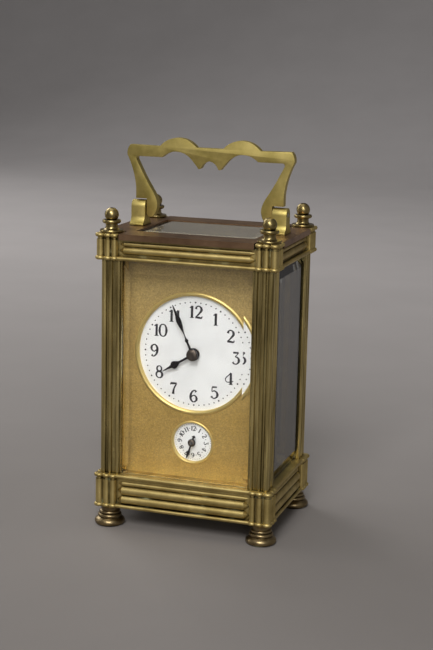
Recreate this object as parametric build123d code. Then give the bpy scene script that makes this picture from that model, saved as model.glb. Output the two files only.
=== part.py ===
"""Brass carriage clock with an alarm: glazed reeded case, bail handle, dials, going train and alarm train."""

import os
from math import atan2, cos, degrees, hypot, pi, radians, sin, sqrt

from build123d import *

# All sizes are in millimetres. X runs to the right, Y to the back, Z up; the origin is on the table
# under the middle of the case. Angles in the front view run from X towards Z.

# Driving sizes of the case
PILLAR_SPAN_X = 63.0  # between pillar axes, left to right
PILLAR_SPAN_Y = 48.0  # between pillar axes, front to back
FOOT_HEIGHT = 8.0
BASE_HEIGHT = 13.7
PILLAR_HEIGHT = 85.4
CORNICE_HEIGHT = 8.0
TOP_PLATE_THICKNESS = 2.3

# Corner blocks of the base and the cornice, measured from the pillar axis
BLOCK_REACH = 4.7  # to the crown of the outer reeds
BLOCK_INNER = 3.9  # to the edge where the rail starts
BLOCK_CORNER_REED = 1.5  # radius of the reed on the corner
BLOCK_FACE_REEDS = (1.2, 1.1)  # radii of the reeds on each face, from the corner inwards
BLOCK_GAPS = (0.45, 0.45)  # flats before those reeds
BLOCK_SUNK = 1.15  # the flats lie this far behind the crowns

# Lips over the reeds, and the necks under the upper lips
LIP_HEIGHT = 1.5
LIP_PROUD = 0.6  # how far the lips stand out past the reeds
NECK_HEIGHT = 0.9
NECK_SUNK = 0.35

# Rails between the blocks, with their horizontal reeds
RAIL_OUT = 2.5  # flat panel, out from the pillar axis
RAIL_LIP_OUT = 4.5  # crown of the lip over the panel
RAIL_WALL = 4.0
BASE_REEDS = (1.85, 1.85, 0.95)  # radii, from the lowest reed up
CORNICE_REEDS = (1.5, 0.95)
REED_SUNK = 0.3  # the reed's axis lies this far behind the panel
REED_TAPER = 2.4  # length of each pointed end
DECK_THICKNESS = 2.0

# Pillars, measured from their own axis
PILLAR_REACH = 3.1
PILLAR_INNER = 5.3
PILLAR_CORNER_REED = 1.2
PILLAR_FACE_REEDS = (0.85, 0.8)
PILLAR_GAPS = (0.6, 1.6)
PILLAR_SUNK = 0.8

# Feet and finials, radii
FOOT_PAD = 6.0
FOOT_BEADS = (4.75, 4.2)
FOOT_NECK = 3.4
FINIAL_BALL = 2.75
FINIAL_COLLAR = 3.6
FINIAL_NECK = 2.35
FINIAL_DISC = 4.4
FINIAL_RISE = 6.7  # middle of the ball above the case

# Studs of the feet and finials, which pass through the blocks into the pillars
STUD_RADIUS = 1.4
STUD_GRIP = 7.0
STUD_CLEARANCE = 0.1

# Glass
GLASS_THICKNESS = 3.0
GLASS_EDGE = 1.8  # thickness left at the bevelled edge
GLASS_BEVEL = 3.2  # width of the bevel
GLASS_GRIP = 1.5  # how far the edge goes into its groove
GLASS_INSET = 0.9  # inner face, behind the pillar axis
FIT = 0.1

# Top window
TOP_WINDOW_X = 48.0
TOP_WINDOW_Y = 35.0
TOP_GLASS_EDGE = 1.2
TOP_LEDGE = 1.2  # thickness of the cornice's ledge under the top glass

# Rear door
DOOR_THICKNESS = 3.0
DOOR_GAP = 0.3
DOOR_STILE = 4.4
DOOR_GLASS = 1.4
DOOR_PIN_RADIUS = 0.8
DOOR_PIN_GRIP = 2.4
KNOB_LENGTH, KNOB_BALL, KNOB_NECK = 3.2, 1.5, 0.8
RUNNING = 0.05  # radial clearance of a turning pin

# Handle
HINGE_HEIGHT = 7.4  # hinge axis above the top plate
HANDLE_HALF = 34.1  # half the outer width
HANDLE_RISE = 27.7  # from the hinge axis to the crest
HANDLE_THICKNESS = 3.2
HINGE_INNER = 25.8  # inner face of the hinge joint, from the middle
KNUCKLE_RADIUS = 2.7
KNUCKLE_LENGTH = 5.8
HINGE_PIN_RADIUS = 0.9
HINGE_SIDE_GAP = 0.3
NOTCH_GAP = 0.6  # over the knuckle
BORE_DEPTH = 3.2  # of the pin in the handle
BRACKET_FOOT = 4.6  # half its depth on the top plate
BRACKET_FOOT_RISE = 0.9

# Dials
DIAL_RISE = 48.7  # middle of the main dial above the base
DIAL_GAP = 35.7  # from the main dial's middle down to the alarm dial's
DIAL_RADIUS = 22.9  # visible enamel
ALARM_RADIUS = 7.9
DIAL_BEAD = (1.6, 0.5)  # width and height of the bead round the main dial
ALARM_BEAD = (0.9, 0.4)
MASK_FRONT = -15.0
MASK_THICKNESS = 1.2
MASK_HALF = 28.0
MASK_POST_X = 21.5
MASK_POST_INSET = (5.6, 16.0)  # posts above the base and below the cornice
MASK_POST_RADIUS = 1.2
ENAMEL_THICKNESS = 1.2
ENAMEL_DOME = 0.5
ENAMEL_LAP = 0.8  # how far the enamel goes behind the mask
ENAMEL_FOOT_RADIUS = 0.7
DIAL_HOLE_GAP = 0.3  # round a pipe or shaft

# Hands, and the time in the photograph
SHOWN_HOUR = 7
SHOWN_MINUTE = 56
SHOWN_ALARM = 6.6
MINUTE_LENGTH = 20.9
HOUR_LENGTH = 14.9
ALARM_LENGTH = 7.1
HAND_THICKNESS = 0.5
HOUR_HAND_BACK = 1.6  # behind face of the hour hand, in front of the enamel
HAND_STEP = 1.1  # from the hour hand to the minute hand
BOSS_RADIUS = 2.5
ALARM_BOSS_RADIUS = 1.55

# Movement plates
PLATE_HALF = 24.5
PLATE_RISE = 25.5  # top edge of the plates above the main dial's middle
PLATE_THICKNESS = 2.0
FRONT_PLATE_BACK = -6.5  # inner face
BACK_PLATE_FRONT = 10.5  # inner face
PLATE_PILLAR_RADIUS = 2.2
PLATE_PILLAR_X = 20.5
PLATE_PILLAR_INSET = (3.6, 4.3)  # from the plates' bottom and top edges

# Going train: module, and teeth of the wheel and of the pinion that it drives
BARREL_MODULE, BARREL_TEETH, CENTRE_PINION = 0.46, 72, 9
CENTRE_MODULE, CENTRE_TEETH, THIRD_PINION = 0.38, 60, 8
THIRD_MODULE, THIRD_TEETH, CONTRATE_PINION = 0.34, 56, 7
CONTRATE_MODULE, CONTRATE_TEETH, ESCAPE_PINION = 0.26, 54, 6
ESCAPE_TEETH = 15
RATCHET_TEETH = 20
BARREL_SIDE = 6.4  # barrel axis, to the right of the middle
CONTRATE_RISE = 15.9  # contrate axis above the centre axis

# Motion work
CANNON_TEETH, MINUTE_WHEEL_TEETH = 12, 36
MINUTE_PINION_TEETH, HOUR_WHEEL_TEETH = 10, 40
MOTION_MODULE = 0.34
MINUTE_STUD_ANGLE = radians(-60)

# Alarm train
ALARM_MODULE, ALARM_BARREL_TEETH, ALARM_PINION = 0.38, 48, 8
ALARM_ESCAPE_TEETH = 12
ALARM_ESCAPE_RADIUS = 4.2
ALARM_BARREL_X = -14.2
ALARM_BARREL_RISE = 14.2  # above the base
ALARM_PINION_ANGLE = radians(-25)
HAMMER_X = 3.4  # hammer arbor
HAMMER_RISE = 4.8  # above the base
HAMMER_HEAD_X = 9.6
HAMMER_HEAD_RADIUS = 1.9
HAMMER_HEAD_HALF = 2.0
HAMMER_ROD_RADIUS = 0.6
DECK_SLOT = (2.4, 3.2, 1.4)  # left, right and depth of the slot about the hammer's rod
BELL_RADIUS = 12.5
BELL_HEIGHT = 8.5
BELL_WALL = 1.0
HAMMER_GAP = 1.1  # from the resting hammer to the bell

# Depths of the wheels between the plates, front face and back face
BARREL_WHEEL_AT = (-4.8, -3.4)
BARREL_DRUM_AT = (-3.4, 7.4)
CENTRE_WHEEL_AT = (8.0, 9.2)
THIRD_WHEEL_AT = (3.0, 4.0)
ALARM_WHEEL_AT = (-1.0, 0.4)
ALARM_DRUM_AT = (0.4, 7.4)
ALARM_ESCAPE_AT = (-3.4, -2.4)
PINION_OVERHANG = 0.7  # a pinion is longer than its wheel is thick, at each end
SQUARE_END = 17.2  # back end of the winding squares

# Platform escapement
PLATFORM_HALF = 13.0
PLATFORM_THICKNESS = 1.6
BALANCE_X, BALANCE_Y = 7.6, 1.0
BALANCE_RADIUS = 6.4
ESCAPE_RADIUS = 3.4

# Levels and positions that follow from the driving sizes
corner_x = PILLAR_SPAN_X / 2
corner_y = PILLAR_SPAN_Y / 2
base_bottom = FOOT_HEIGHT
base_top = base_bottom + BASE_HEIGHT
cornice_bottom = base_top + PILLAR_HEIGHT
cornice_top = cornice_bottom + CORNICE_HEIGHT
case_top = cornice_top + TOP_PLATE_THICKNESS
hinge_z = case_top + HINGE_HEIGHT
top_glass_thickness = TOP_PLATE_THICKNESS - FIT
dial_z = base_top + DIAL_RISE
alarm_z = dial_z - DIAL_GAP
plate_top = dial_z + PLATE_RISE
alarm_barrel_z = base_top + ALARM_BARREL_RISE
hammer_z = base_top + HAMMER_RISE
corners = [(x, y) for x in (-1, 1) for y in (-1, 1)]


def rectangle(x0, y0, x1, y1):
    """A rectangle between two opposite corners."""
    return Pos((x0 + x1) / 2, (y0 + y1) / 2) * Rectangle(abs(x1 - x0), abs(y1 - y0))


def block(x0, y0, z0, x1, y1, z1):
    """A box between two opposite corners."""
    middle = Pos((x0 + x1) / 2, (y0 + y1) / 2, (z0 + z1) / 2)
    return middle * Box(abs(x1 - x0), abs(y1 - y0), abs(z1 - z0))


def upright(plan, z0, z1):
    """A solid that stands from z0 to z1 on a plan drawn from above."""
    return extrude(Pos(0, 0, z0) * plan, z1 - z0, dir=(0, 0, 1))


def slab(face, y_front, y_back):
    """A solid between two depths, from a face drawn in the front view."""
    return extrude(Plane.XZ.offset(-y_back) * face, y_back - y_front)


def shaft(x, z, radius, y_front, y_back):
    """A round bar from front to back."""
    return slab(Pos(x, z) * Circle(radius), y_front, y_back)


def turned(outline, x, y):
    """A solid of revolution about an upright axis. The outline is a closed wire of (radius, height)."""
    return Pos(x, y, 0) * revolve(Plane.XZ * make_face(outline), Axis.Z)


def at_corner(shape, side_x, side_y):
    """A shape drawn for the back right corner, taken to another corner."""
    if side_x < 0:
        shape = mirror(shape, Plane.YZ)
    if side_y < 0:
        shape = mirror(shape, Plane.XZ)
    return Pos(side_x * corner_x, side_y * corner_y) * shape


def save(shape, name):
    """Writes one piece."""
    export_step(shape, f"parts/{name}.step")


# Case mouldings


def reed_places(reach, corner_reed, face_reeds, gaps):
    """Centre and radius of each reed of a corner post: the corner's own, then those on both faces."""
    at = reach - corner_reed
    places = [(at, at, corner_reed)]
    edge = at - corner_reed
    for radius, gap in zip(face_reeds, gaps):
        across = edge - gap - radius
        places += [(across, reach - radius, radius), (reach - radius, across, radius)]
        edge = across - radius
    return places


def reeded_corner(places, inner, flat, grow=0.0):
    """Plan of a corner post about its axis: a core with flat faces, and its reeds."""
    corner_at = places[0][0]
    plan = rectangle(-inner, -inner, corner_at, flat + grow)
    plan += rectangle(-inner, -inner, flat + grow, corner_at)
    for x, y, radius in places:
        plan += Pos(x, y) * Circle(radius + grow)
    return plan


block_reeds = reed_places(BLOCK_REACH, BLOCK_CORNER_REED, BLOCK_FACE_REEDS, BLOCK_GAPS)
pillar_reeds = reed_places(PILLAR_REACH, PILLAR_CORNER_REED, PILLAR_FACE_REEDS, PILLAR_GAPS)


def four_blocks(grow, z0, z1):
    """The corner blocks between two heights, grown or shrunk all round."""
    plan = reeded_corner(block_reeds, BLOCK_INNER, BLOCK_REACH - BLOCK_SUNK, grow)
    return [at_corner(upright(plan, z0, z1), *side) for side in corners]


def rails(z0, z1):
    """Flat panels between the blocks, solid right through the case."""
    plan = Rectangle(2 * corner_x, 2 * (corner_y + RAIL_OUT))
    return upright(plan + Rectangle(2 * (corner_x + RAIL_OUT), 2 * corner_y), z0, z1)


def block_lips(z0, z1):
    """Half-round mouldings that follow the reeds of the blocks."""
    bead = (z1 - z0) / 2
    lips = four_blocks(LIP_PROUD - bead, z0, z1)
    for x, y, radius in block_reeds:
        edge = radius + LIP_PROUD - bead
        outline = (
            Polyline((edge, z1), (0, z1), (0, z0), (edge, z0))
            + ThreePointArc((edge, z0), (edge + bead, z0 + bead), (edge, z1))
        )
        disc = turned(outline, x, y)
        lips += [at_corner(disc, *side) for side in corners]
    return lips


def rail_lips(z0, z1):
    """Half-round mouldings along the rails, solid right through the case."""
    middle = (z0 + z1) / 2
    height = z1 - z0
    across = Plane.YZ.offset(-corner_x) * Pos(0, middle) * SlotOverall(2 * (corner_y + RAIL_LIP_OUT), height)
    along = Plane.XZ.offset(-corner_y) * Pos(0, middle) * SlotOverall(2 * (corner_x + RAIL_LIP_OUT), height)
    return [extrude(across, 2 * corner_x), extrude(along, 2 * corner_y)]


def rail_reeds(z_first, radii):
    """Horizontal reeds with pointed ends, stacked on all four panels."""
    reeds = []
    panels = ((corner_y, corner_x - BLOCK_INNER, 0), (corner_x, corner_y - BLOCK_INNER, 90))
    z = z_first
    for radius in radii:
        z += radius
        for out, half, turn in panels:
            shoulder = half - REED_TAPER
            outline = Polyline((-half, 0), (-shoulder, radius), (shoulder, radius), (half, 0), close=True)
            reed = revolve(make_face(outline), Axis.X)
            for way in (turn, turn + 180):
                reeds.append(Rot(0, 0, way) * Pos(0, -(out + RAIL_OUT - REED_SUNK), z) * reed)
        z += radius
    return reeds


def stud_holes(z0, z1):
    """Clearance holes for the studs of the feet and finials."""
    hole = upright(Circle(STUD_RADIUS + STUD_CLEARANCE), z0, z1)
    return [at_corner(hole, *side) for side in corners]


def hollow(wall_out, z0, z1):
    """Space inside the rails, clear of the corner blocks."""
    space = Rectangle(2 * (corner_x - BLOCK_INNER), 2 * (corner_y + wall_out))
    space += Rectangle(2 * (corner_x + wall_out), 2 * (corner_y - BLOCK_INNER))
    return upright(space, z0, z1)


def door_pin_hole(z0, z1):
    """Bearing for one pin of the rear door."""
    return Pos(door_axis_x, door_axis_y) * upright(Circle(DOOR_PIN_RADIUS + RUNNING), z0, z1)


door_axis_x = -(corner_x - PILLAR_INNER - DOOR_GAP - DOOR_THICKNESS / 2)
door_axis_y = corner_y
hammer_depth = sum(ALARM_ESCAPE_AT) / 2


def base_frame():
    """Base moulding, open below, with a deck that carries the movement."""
    upper_lip = base_top - LIP_HEIGHT
    body = rails(base_bottom, base_top)
    body += rail_lips(base_bottom, base_bottom + LIP_HEIGHT)
    body += rail_lips(upper_lip, base_top)
    body += rail_reeds(base_bottom + LIP_HEIGHT, BASE_REEDS)
    body -= hollow(RAIL_OUT - RAIL_WALL, base_bottom, base_top - DECK_THICKNESS)
    body += four_blocks(0.0, base_bottom, upper_lip - NECK_HEIGHT)
    body += four_blocks(-NECK_SUNK, upper_lip - NECK_HEIGHT, upper_lip)
    body += block_lips(base_bottom, base_bottom + LIP_HEIGHT)
    body += block_lips(upper_lip, base_top)
    body -= stud_holes(base_bottom, base_top)
    body -= door_pin_hole(base_top - DOOR_PIN_GRIP - FIT, base_top)
    slot_x = HAMMER_X + HAMMER_RISE * hammer_lean
    left, right, depth = DECK_SLOT
    slot = rectangle(slot_x - left, hammer_depth - depth, slot_x + right, hammer_depth + depth)
    return body - upright(slot, base_top - DECK_THICKNESS, base_top)


def cornice_frame():
    """Cornice moulding, a ring under the top plate, with corner blocks that rise flush with the plate."""
    reed_space = CORNICE_HEIGHT - LIP_HEIGHT - 2 * sum(CORNICE_REEDS)
    upper_lip = case_top - LIP_HEIGHT
    body = rails(cornice_bottom, cornice_top)
    body += rail_lips(cornice_bottom, cornice_bottom + LIP_HEIGHT)
    body += rail_reeds(cornice_bottom + LIP_HEIGHT + reed_space / 2, CORNICE_REEDS)
    body -= hollow(RAIL_OUT - RAIL_WALL, cornice_bottom, cornice_top - TOP_LEDGE)
    body -= upright(Rectangle(TOP_WINDOW_X, TOP_WINDOW_Y), cornice_top - TOP_LEDGE, cornice_top)
    body += four_blocks(0.0, cornice_bottom, upper_lip - NECK_HEIGHT)
    body += four_blocks(-NECK_SUNK, upper_lip - NECK_HEIGHT, upper_lip)
    body += block_lips(cornice_bottom, cornice_bottom + LIP_HEIGHT)
    body += block_lips(upper_lip, case_top)
    body -= stud_holes(cornice_bottom, case_top)
    body -= door_pin_hole(cornice_bottom, cornice_bottom + DOOR_PIN_GRIP + FIT)
    return body


def top_plate():
    """Flat plate between the corner blocks, with a rebated window."""
    inset = BLOCK_INNER + LIP_PROUD + FIT
    plan = Rectangle(2 * (corner_x - inset), 2 * (corner_y + RAIL_LIP_OUT))
    plan += Rectangle(2 * (corner_x + RAIL_LIP_OUT), 2 * (corner_y - inset))
    body = upright(plan, cornice_top, case_top)
    body -= upright(Rectangle(TOP_WINDOW_X, TOP_WINDOW_Y), cornice_top, case_top)
    ledge = Rectangle(TOP_WINDOW_X + 2 * GLASS_GRIP + FIT, TOP_WINDOW_Y + 2 * GLASS_GRIP + FIT)
    return body - upright(ledge, cornice_top, cornice_top + TOP_GLASS_EDGE + FIT)


def pillar(groove_x, groove_y):
    """Reeded pillar for the back right corner, grooved on the inner faces that hold glass."""
    plan = reeded_corner(pillar_reeds, PILLAR_INNER, PILLAR_REACH - PILLAR_SUNK)
    depth = GLASS_GRIP + FIT
    low, high = -GLASS_INSET - FIT, GLASS_EDGE - GLASS_INSET + FIT
    if groove_x:
        plan -= rectangle(-PILLAR_INNER, low, -PILLAR_INNER + depth, high)
    if groove_y:
        plan -= rectangle(low, -PILLAR_INNER, high, -PILLAR_INNER + depth)
    body = upright(plan, base_top, cornice_bottom)
    hole = Circle(STUD_RADIUS + STUD_CLEARANCE)
    body -= upright(hole, base_top, base_top + STUD_GRIP + FIT)
    body -= upright(hole, cornice_bottom - STUD_GRIP - FIT, cornice_bottom)
    return body


def foot():
    """Turned foot: a flat pad, two beads and a waisted neck, with a stud up into the pillar."""
    h = FOOT_HEIGHT
    pad, lower, upper, neck = FOOT_PAD, FOOT_BEADS[0], FOOT_BEADS[1], FOOT_NECK
    stud_top = base_top + STUD_GRIP
    outline = (
        Polyline((0, stud_top), (0, 0), (0.86 * pad, 0))
        + ThreePointArc((0.86 * pad, 0), (pad, 0.15 * h), (0.9 * pad, 0.32 * h))
        + Line((0.9 * pad, 0.32 * h), (0.74 * pad, 0.4 * h))
        + ThreePointArc((0.74 * pad, 0.4 * h), (lower, 0.49 * h), (0.72 * pad, 0.57 * h))
        + Line((0.72 * pad, 0.57 * h), (0.64 * pad, 0.58 * h))
        + ThreePointArc((0.64 * pad, 0.58 * h), (upper, 0.66 * h), (0.62 * pad, 0.73 * h))
        + Line((0.62 * pad, 0.73 * h), (neck, 0.75 * h))
        + ThreePointArc((neck, 0.75 * h), (1.04 * neck, 0.88 * h), (1.2 * neck, h))
        + Polyline((1.2 * neck, h), (STUD_RADIUS, h), (STUD_RADIUS, stud_top), (0, stud_top))
    )
    return turned(outline, 0, 0)


def finial():
    """Ball finial on a collar, neck and stepped disc, with a stud down into the pillar."""
    ball, collar, neck, disc = FINIAL_BALL, FINIAL_COLLAR, FINIAL_NECK, FINIAL_DISC
    z = case_top
    stud_end = cornice_bottom - STUD_GRIP
    ball_at = z + FINIAL_RISE
    collar_top = ball_at - 0.7 * ball
    ball_foot = sqrt(ball**2 - (ball_at - collar_top) ** 2)
    outline = (
        Polyline((0, ball_at + ball), (0, stud_end), (STUD_RADIUS, stud_end), (STUD_RADIUS, z), (disc, z))
        + ThreePointArc((disc, z), (disc + 0.15, z + 0.5), (disc, z + 1.0))
        + Line((disc, z + 1.0), (3.4, z + 1.0))
        + ThreePointArc((3.4, z + 1.0), (2.6, z + 1.5), (neck, z + 2.3))
        + Line((neck, z + 2.3), (neck, z + 3.5))
        + ThreePointArc((neck, z + 3.5), (collar, z + 4.0), (0.94 * collar, collar_top))
        + Line((0.94 * collar, collar_top), (ball_foot, collar_top))
        + ThreePointArc((ball_foot, collar_top), (ball, ball_at), (0, ball_at + ball))
    )
    return turned(outline, 0, 0)


# Glass


def bevelled_pane(width, height, margin, edge, thickness):
    """A pane lying on z = 0: a thin margin all round, then a bevel up to the full thickness."""
    foot_width, foot_height = width - 2 * margin, height - 2 * margin
    lower = Pos(0, 0, edge) * Rectangle(foot_width, foot_height)
    upper = Pos(0, 0, thickness) * Rectangle(foot_width - 2 * GLASS_BEVEL, foot_height - 2 * GLASS_BEVEL)
    return upright(Rectangle(width, height), 0, edge) + loft([lower, upper])


def wall_glass(opening, out):
    """An upright pane that faces the front, held in grooves at both sides."""
    height = PILLAR_HEIGHT - 2 * FIT
    pane = bevelled_pane(opening + 2 * GLASS_GRIP, height, GLASS_GRIP, GLASS_EDGE, GLASS_THICKNESS)
    return Pos(0, -(out - GLASS_INSET), base_top + PILLAR_HEIGHT / 2) * Rot(90, 0, 0) * pane


def top_glass():
    """Pane that lies in the rebate under the top plate."""
    width, depth = TOP_WINDOW_X + 2 * GLASS_GRIP, TOP_WINDOW_Y + 2 * GLASS_GRIP
    pane = bevelled_pane(width, depth, GLASS_GRIP + FIT, TOP_GLASS_EDGE, top_glass_thickness)
    return Pos(0, 0, cornice_top) * pane


# Rear door

door_bottom = base_top + DOOR_GAP
door_top = cornice_bottom - DOOR_GAP
door_free_x = -door_axis_x + DOOR_THICKNESS / 2
door_front = door_axis_y - DOOR_THICKNESS / 2
door_back = door_axis_y + DOOR_THICKNESS / 2
rebate_back = door_front + DOOR_GLASS + FIT


def door_window(grow):
    """Outline of the door's window in the front view."""
    left = door_axis_x - DOOR_THICKNESS / 2 + DOOR_STILE
    right = door_free_x - DOOR_STILE
    return rectangle(left - grow, door_bottom + DOOR_STILE - grow, right + grow, door_top - DOOR_STILE + grow)


def door_frame():
    """Door frame whose hinge edge is rounded about the pivots, rebated inside for its glass."""
    plan = rectangle(door_axis_x, door_front, door_free_x, door_back)
    plan += Pos(door_axis_x, door_axis_y) * Circle(DOOR_THICKNESS / 2)
    body = upright(plan, door_bottom, door_top)
    body -= slab(door_window(0), door_front, door_back)
    body -= slab(door_window(GLASS_GRIP), door_front, rebate_back)
    pin = Pos(door_axis_x, door_axis_y) * Circle(DOOR_PIN_RADIUS)
    body -= upright(pin, door_bottom, door_bottom + DOOR_PIN_GRIP)
    body -= upright(pin, door_top - DOOR_PIN_GRIP, door_top)
    return body


def door_glass():
    """Flat pane in the rebate of the door."""
    return slab(door_window(GLASS_GRIP - FIT), door_front, door_front + DOOR_GLASS)


def door_pins():
    """Two pivots, fast in the door, that turn in the base and the cornice."""
    pin = Pos(door_axis_x, door_axis_y) * Circle(DOOR_PIN_RADIUS)
    low = upright(pin, base_top - DOOR_PIN_GRIP, door_bottom + DOOR_PIN_GRIP)
    high = upright(pin, door_top - DOOR_PIN_GRIP, cornice_bottom + DOOR_PIN_GRIP)
    return Compound(children=[low, high])


def door_knob():
    """Turned knob on the free stile."""
    length, ball, neck = KNOB_LENGTH, KNOB_BALL, KNOB_NECK
    z = (door_bottom + door_top) / 2
    foot_at = sqrt(ball**2 - neck**2)
    outline = (
        Polyline((0, length), (0, 0), (1.4, 0), (1.4, 0.5), (neck, 0.5), (neck, length - ball - foot_at))
        + ThreePointArc((neck, length - ball - foot_at), (ball, length - ball), (0, length))
    )
    knob = revolve(make_face(outline), Axis.Y)
    return Pos(door_free_x - DOOR_STILE / 2, door_back, z) * knob


# Handle


def handle():
    """Flat cast bail with two humps, a pendant pair in the middle and notched feet."""

    def at(x, up):
        return (x * HANDLE_HALF / 34.1, hinge_z + up * HANDLE_RISE / 27.7)

    notch_z = hinge_z + KNUCKLE_RADIUS + NOTCH_GAP
    foot_z = at(0, -2.6)[1]
    right = (
        Line(at(0, 24.2), at(5.4, 24.2))
        + ThreePointArc(at(5.4, 24.2), at(12.8, 27.7), at(20.6, 24.1))
        + Line(at(20.6, 24.1), at(32.9, 24.3))
        + ThreePointArc(at(32.9, 24.3), at(33.9, 22.6), at(34.1, 20.3))
        + ThreePointArc(at(34.1, 20.3), at(31.3, 13.1), at(30.3, 7.3))
        + Polyline(
            at(30.3, 7.3), (at(30.3, 0)[0], notch_z), (HINGE_INNER, notch_z), (HINGE_INNER, foot_z)
        )
        + ThreePointArc((HINGE_INNER, foot_z), at(24.2, -3.9), at(22.5, -2.7))
        + Spline(at(22.5, -2.7), at(21.4, 1.7), at(24.6, 8.3), at(28.9, 15.9), at(30.3, 18.7))
        + ThreePointArc(at(30.3, 18.7), at(30.1, 19.6), at(29.2, 19.9))
        + Line(at(29.2, 19.9), at(19.6, 19.9))
        + ThreePointArc(at(19.6, 19.9), at(13.0, 22.3), at(7.2, 19.3))
        + Line(at(7.2, 19.3), at(4.9, 16.6))
        + ThreePointArc(at(4.9, 16.6), at(4.2, 16.0), at(3.4, 16.6))
        + ThreePointArc(at(3.4, 16.6), at(1.9, 18.5), at(0, 19.2))
        + Line(at(0, 19.2), at(0, 24.2))
    )
    half = make_face(right)
    outline = half + mirror(half, Plane.YZ)
    body = slab(outline, -HANDLE_THICKNESS / 2, HANDLE_THICKNESS / 2)
    bore = Circle(HINGE_PIN_RADIUS + RUNNING)
    for side in (-1, 1):
        face = Plane(origin=(side * (HINGE_INNER - BORE_DEPTH), 0, hinge_z), z_dir=(side, 0, 0)) * bore
        body -= extrude(face, BORE_DEPTH)
    return body


knuckle_start = HINGE_INNER + HINGE_SIDE_GAP


def bracket(side):
    """Hinge knuckle whose cheeks run straight down and flare to a foot on the top plate."""
    cheek = KNUCKLE_RADIUS
    flare_top = (case_top + hinge_z) / 2
    foot_top = case_top + BRACKET_FOOT_RISE
    bend = (0.45 * cheek + 0.55 * BRACKET_FOOT, foot_top + 0.22 * (flare_top - foot_top))
    right = (
        Polyline((0, hinge_z), (0, case_top), (BRACKET_FOOT, case_top), (BRACKET_FOOT, foot_top))
        + ThreePointArc((BRACKET_FOOT, foot_top), bend, (cheek, flare_top))
        + Polyline((cheek, flare_top), (cheek, hinge_z), (0, hinge_z))
    )
    half = make_face(right)
    outline = half + mirror(half, Plane.YZ) + Pos(0, hinge_z) * Circle(KNUCKLE_RADIUS)
    outline -= Pos(0, hinge_z) * Circle(HINGE_PIN_RADIUS)
    plane = Plane(origin=(side * knuckle_start, 0, 0), x_dir=(0, side, 0), z_dir=(side, 0, 0))
    return extrude(plane * outline, KNUCKLE_LENGTH)


def hinge_pins():
    """Two pins, fast in the brackets, that the handle turns on."""
    pins = []
    for side in (-1, 1):
        start = HINGE_INNER - BORE_DEPTH + HINGE_SIDE_GAP / 2
        plane = Plane(origin=(side * start, 0, hinge_z), z_dir=(side, 0, 0))
        pins.append(extrude(plane * Circle(HINGE_PIN_RADIUS), knuckle_start + KNUCKLE_LENGTH - start))
    return Compound(children=pins)


# Dials and hands

mask_back = MASK_FRONT + MASK_THICKNESS
enamel_back = mask_back + ENAMEL_THICKNESS
front_plate_front = FRONT_PLATE_BACK - PLATE_THICKNESS
back_plate_back = BACK_PLATE_FRONT + PLATE_THICKNESS


def dial_ring(radius, z, width, proud):
    """Bright bead round an opening of the mask."""
    outer = radius + width
    outline = (
        Line((radius, 0), (outer, 0))
        + ThreePointArc((outer, 0), (radius + width / 2, proud), (radius, 0))
    )
    ring = revolve(make_face(outline), Axis.Y)
    return Pos(0, MASK_FRONT, z) * Rot(180, 0, 0) * ring


def dial_mask():
    """Frosted plate behind the front glass, pierced for both dials, on four posts."""
    face = rectangle(-MASK_HALF, base_top + FIT, MASK_HALF, cornice_bottom - FIT)
    face -= Pos(0, dial_z) * Circle(DIAL_RADIUS)
    face -= Pos(0, alarm_z) * Circle(ALARM_RADIUS)
    body = slab(face, MASK_FRONT, mask_back)
    body += dial_ring(DIAL_RADIUS, dial_z, *DIAL_BEAD)
    body += dial_ring(ALARM_RADIUS, alarm_z, *ALARM_BEAD)
    low, high = MASK_POST_INSET
    for x in (-MASK_POST_X, MASK_POST_X):
        for z in (base_top + low, cornice_bottom - high):
            body += shaft(x, z, MASK_POST_RADIUS, mask_back, front_plate_front)
    return body


def enamel_dial(radius, z, hole, feet):
    """Domed enamel disc behind the mask, on feet that reach the front plate."""
    edge = radius + ENAMEL_LAP
    rim = radius - FIT
    back = -ENAMEL_THICKNESS
    outline = (
        Polyline((hole, ENAMEL_DOME), (hole, back), (edge, back), (edge, 0), (rim, 0))
        + ThreePointArc((rim, 0), (0.7 * rim, 0.52 * ENAMEL_DOME), (hole, ENAMEL_DOME))
    )
    body = Pos(0, mask_back, z) * Rot(180, 0, 0) * revolve(make_face(outline), Axis.Y)
    for turn in feet:
        across = 0.8 * radius
        x, up = across * cos(turn), across * sin(turn)
        body += shaft(x, z + up, ENAMEL_FOOT_RADIUS, enamel_back, front_plate_front)
    return body


def clock_hand(outline_half, boss, hole, turn):
    """A hand drawn upright about its own axis, mirrored, given a boss, then turned clockwise."""
    half = make_face(outline_half)
    face = half + mirror(half, Plane.YZ) + Circle(boss) - Circle(hole)
    return Rot(0, 0, -turn) * face


hour_hand_back = mask_back - ENAMEL_DOME - HOUR_HAND_BACK + HAND_THICKNESS
minute_hand_back = hour_hand_back - HAND_STEP
hour_pipe, hour_bore = 1.9, 1.25
cannon_pipe = hour_bore - RUNNING
minute_turn = SHOWN_MINUTE * 6.0
hour_turn = (SHOWN_HOUR + SHOWN_MINUTE / 60) * 30.0
alarm_turn = SHOWN_ALARM * 30.0


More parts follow.
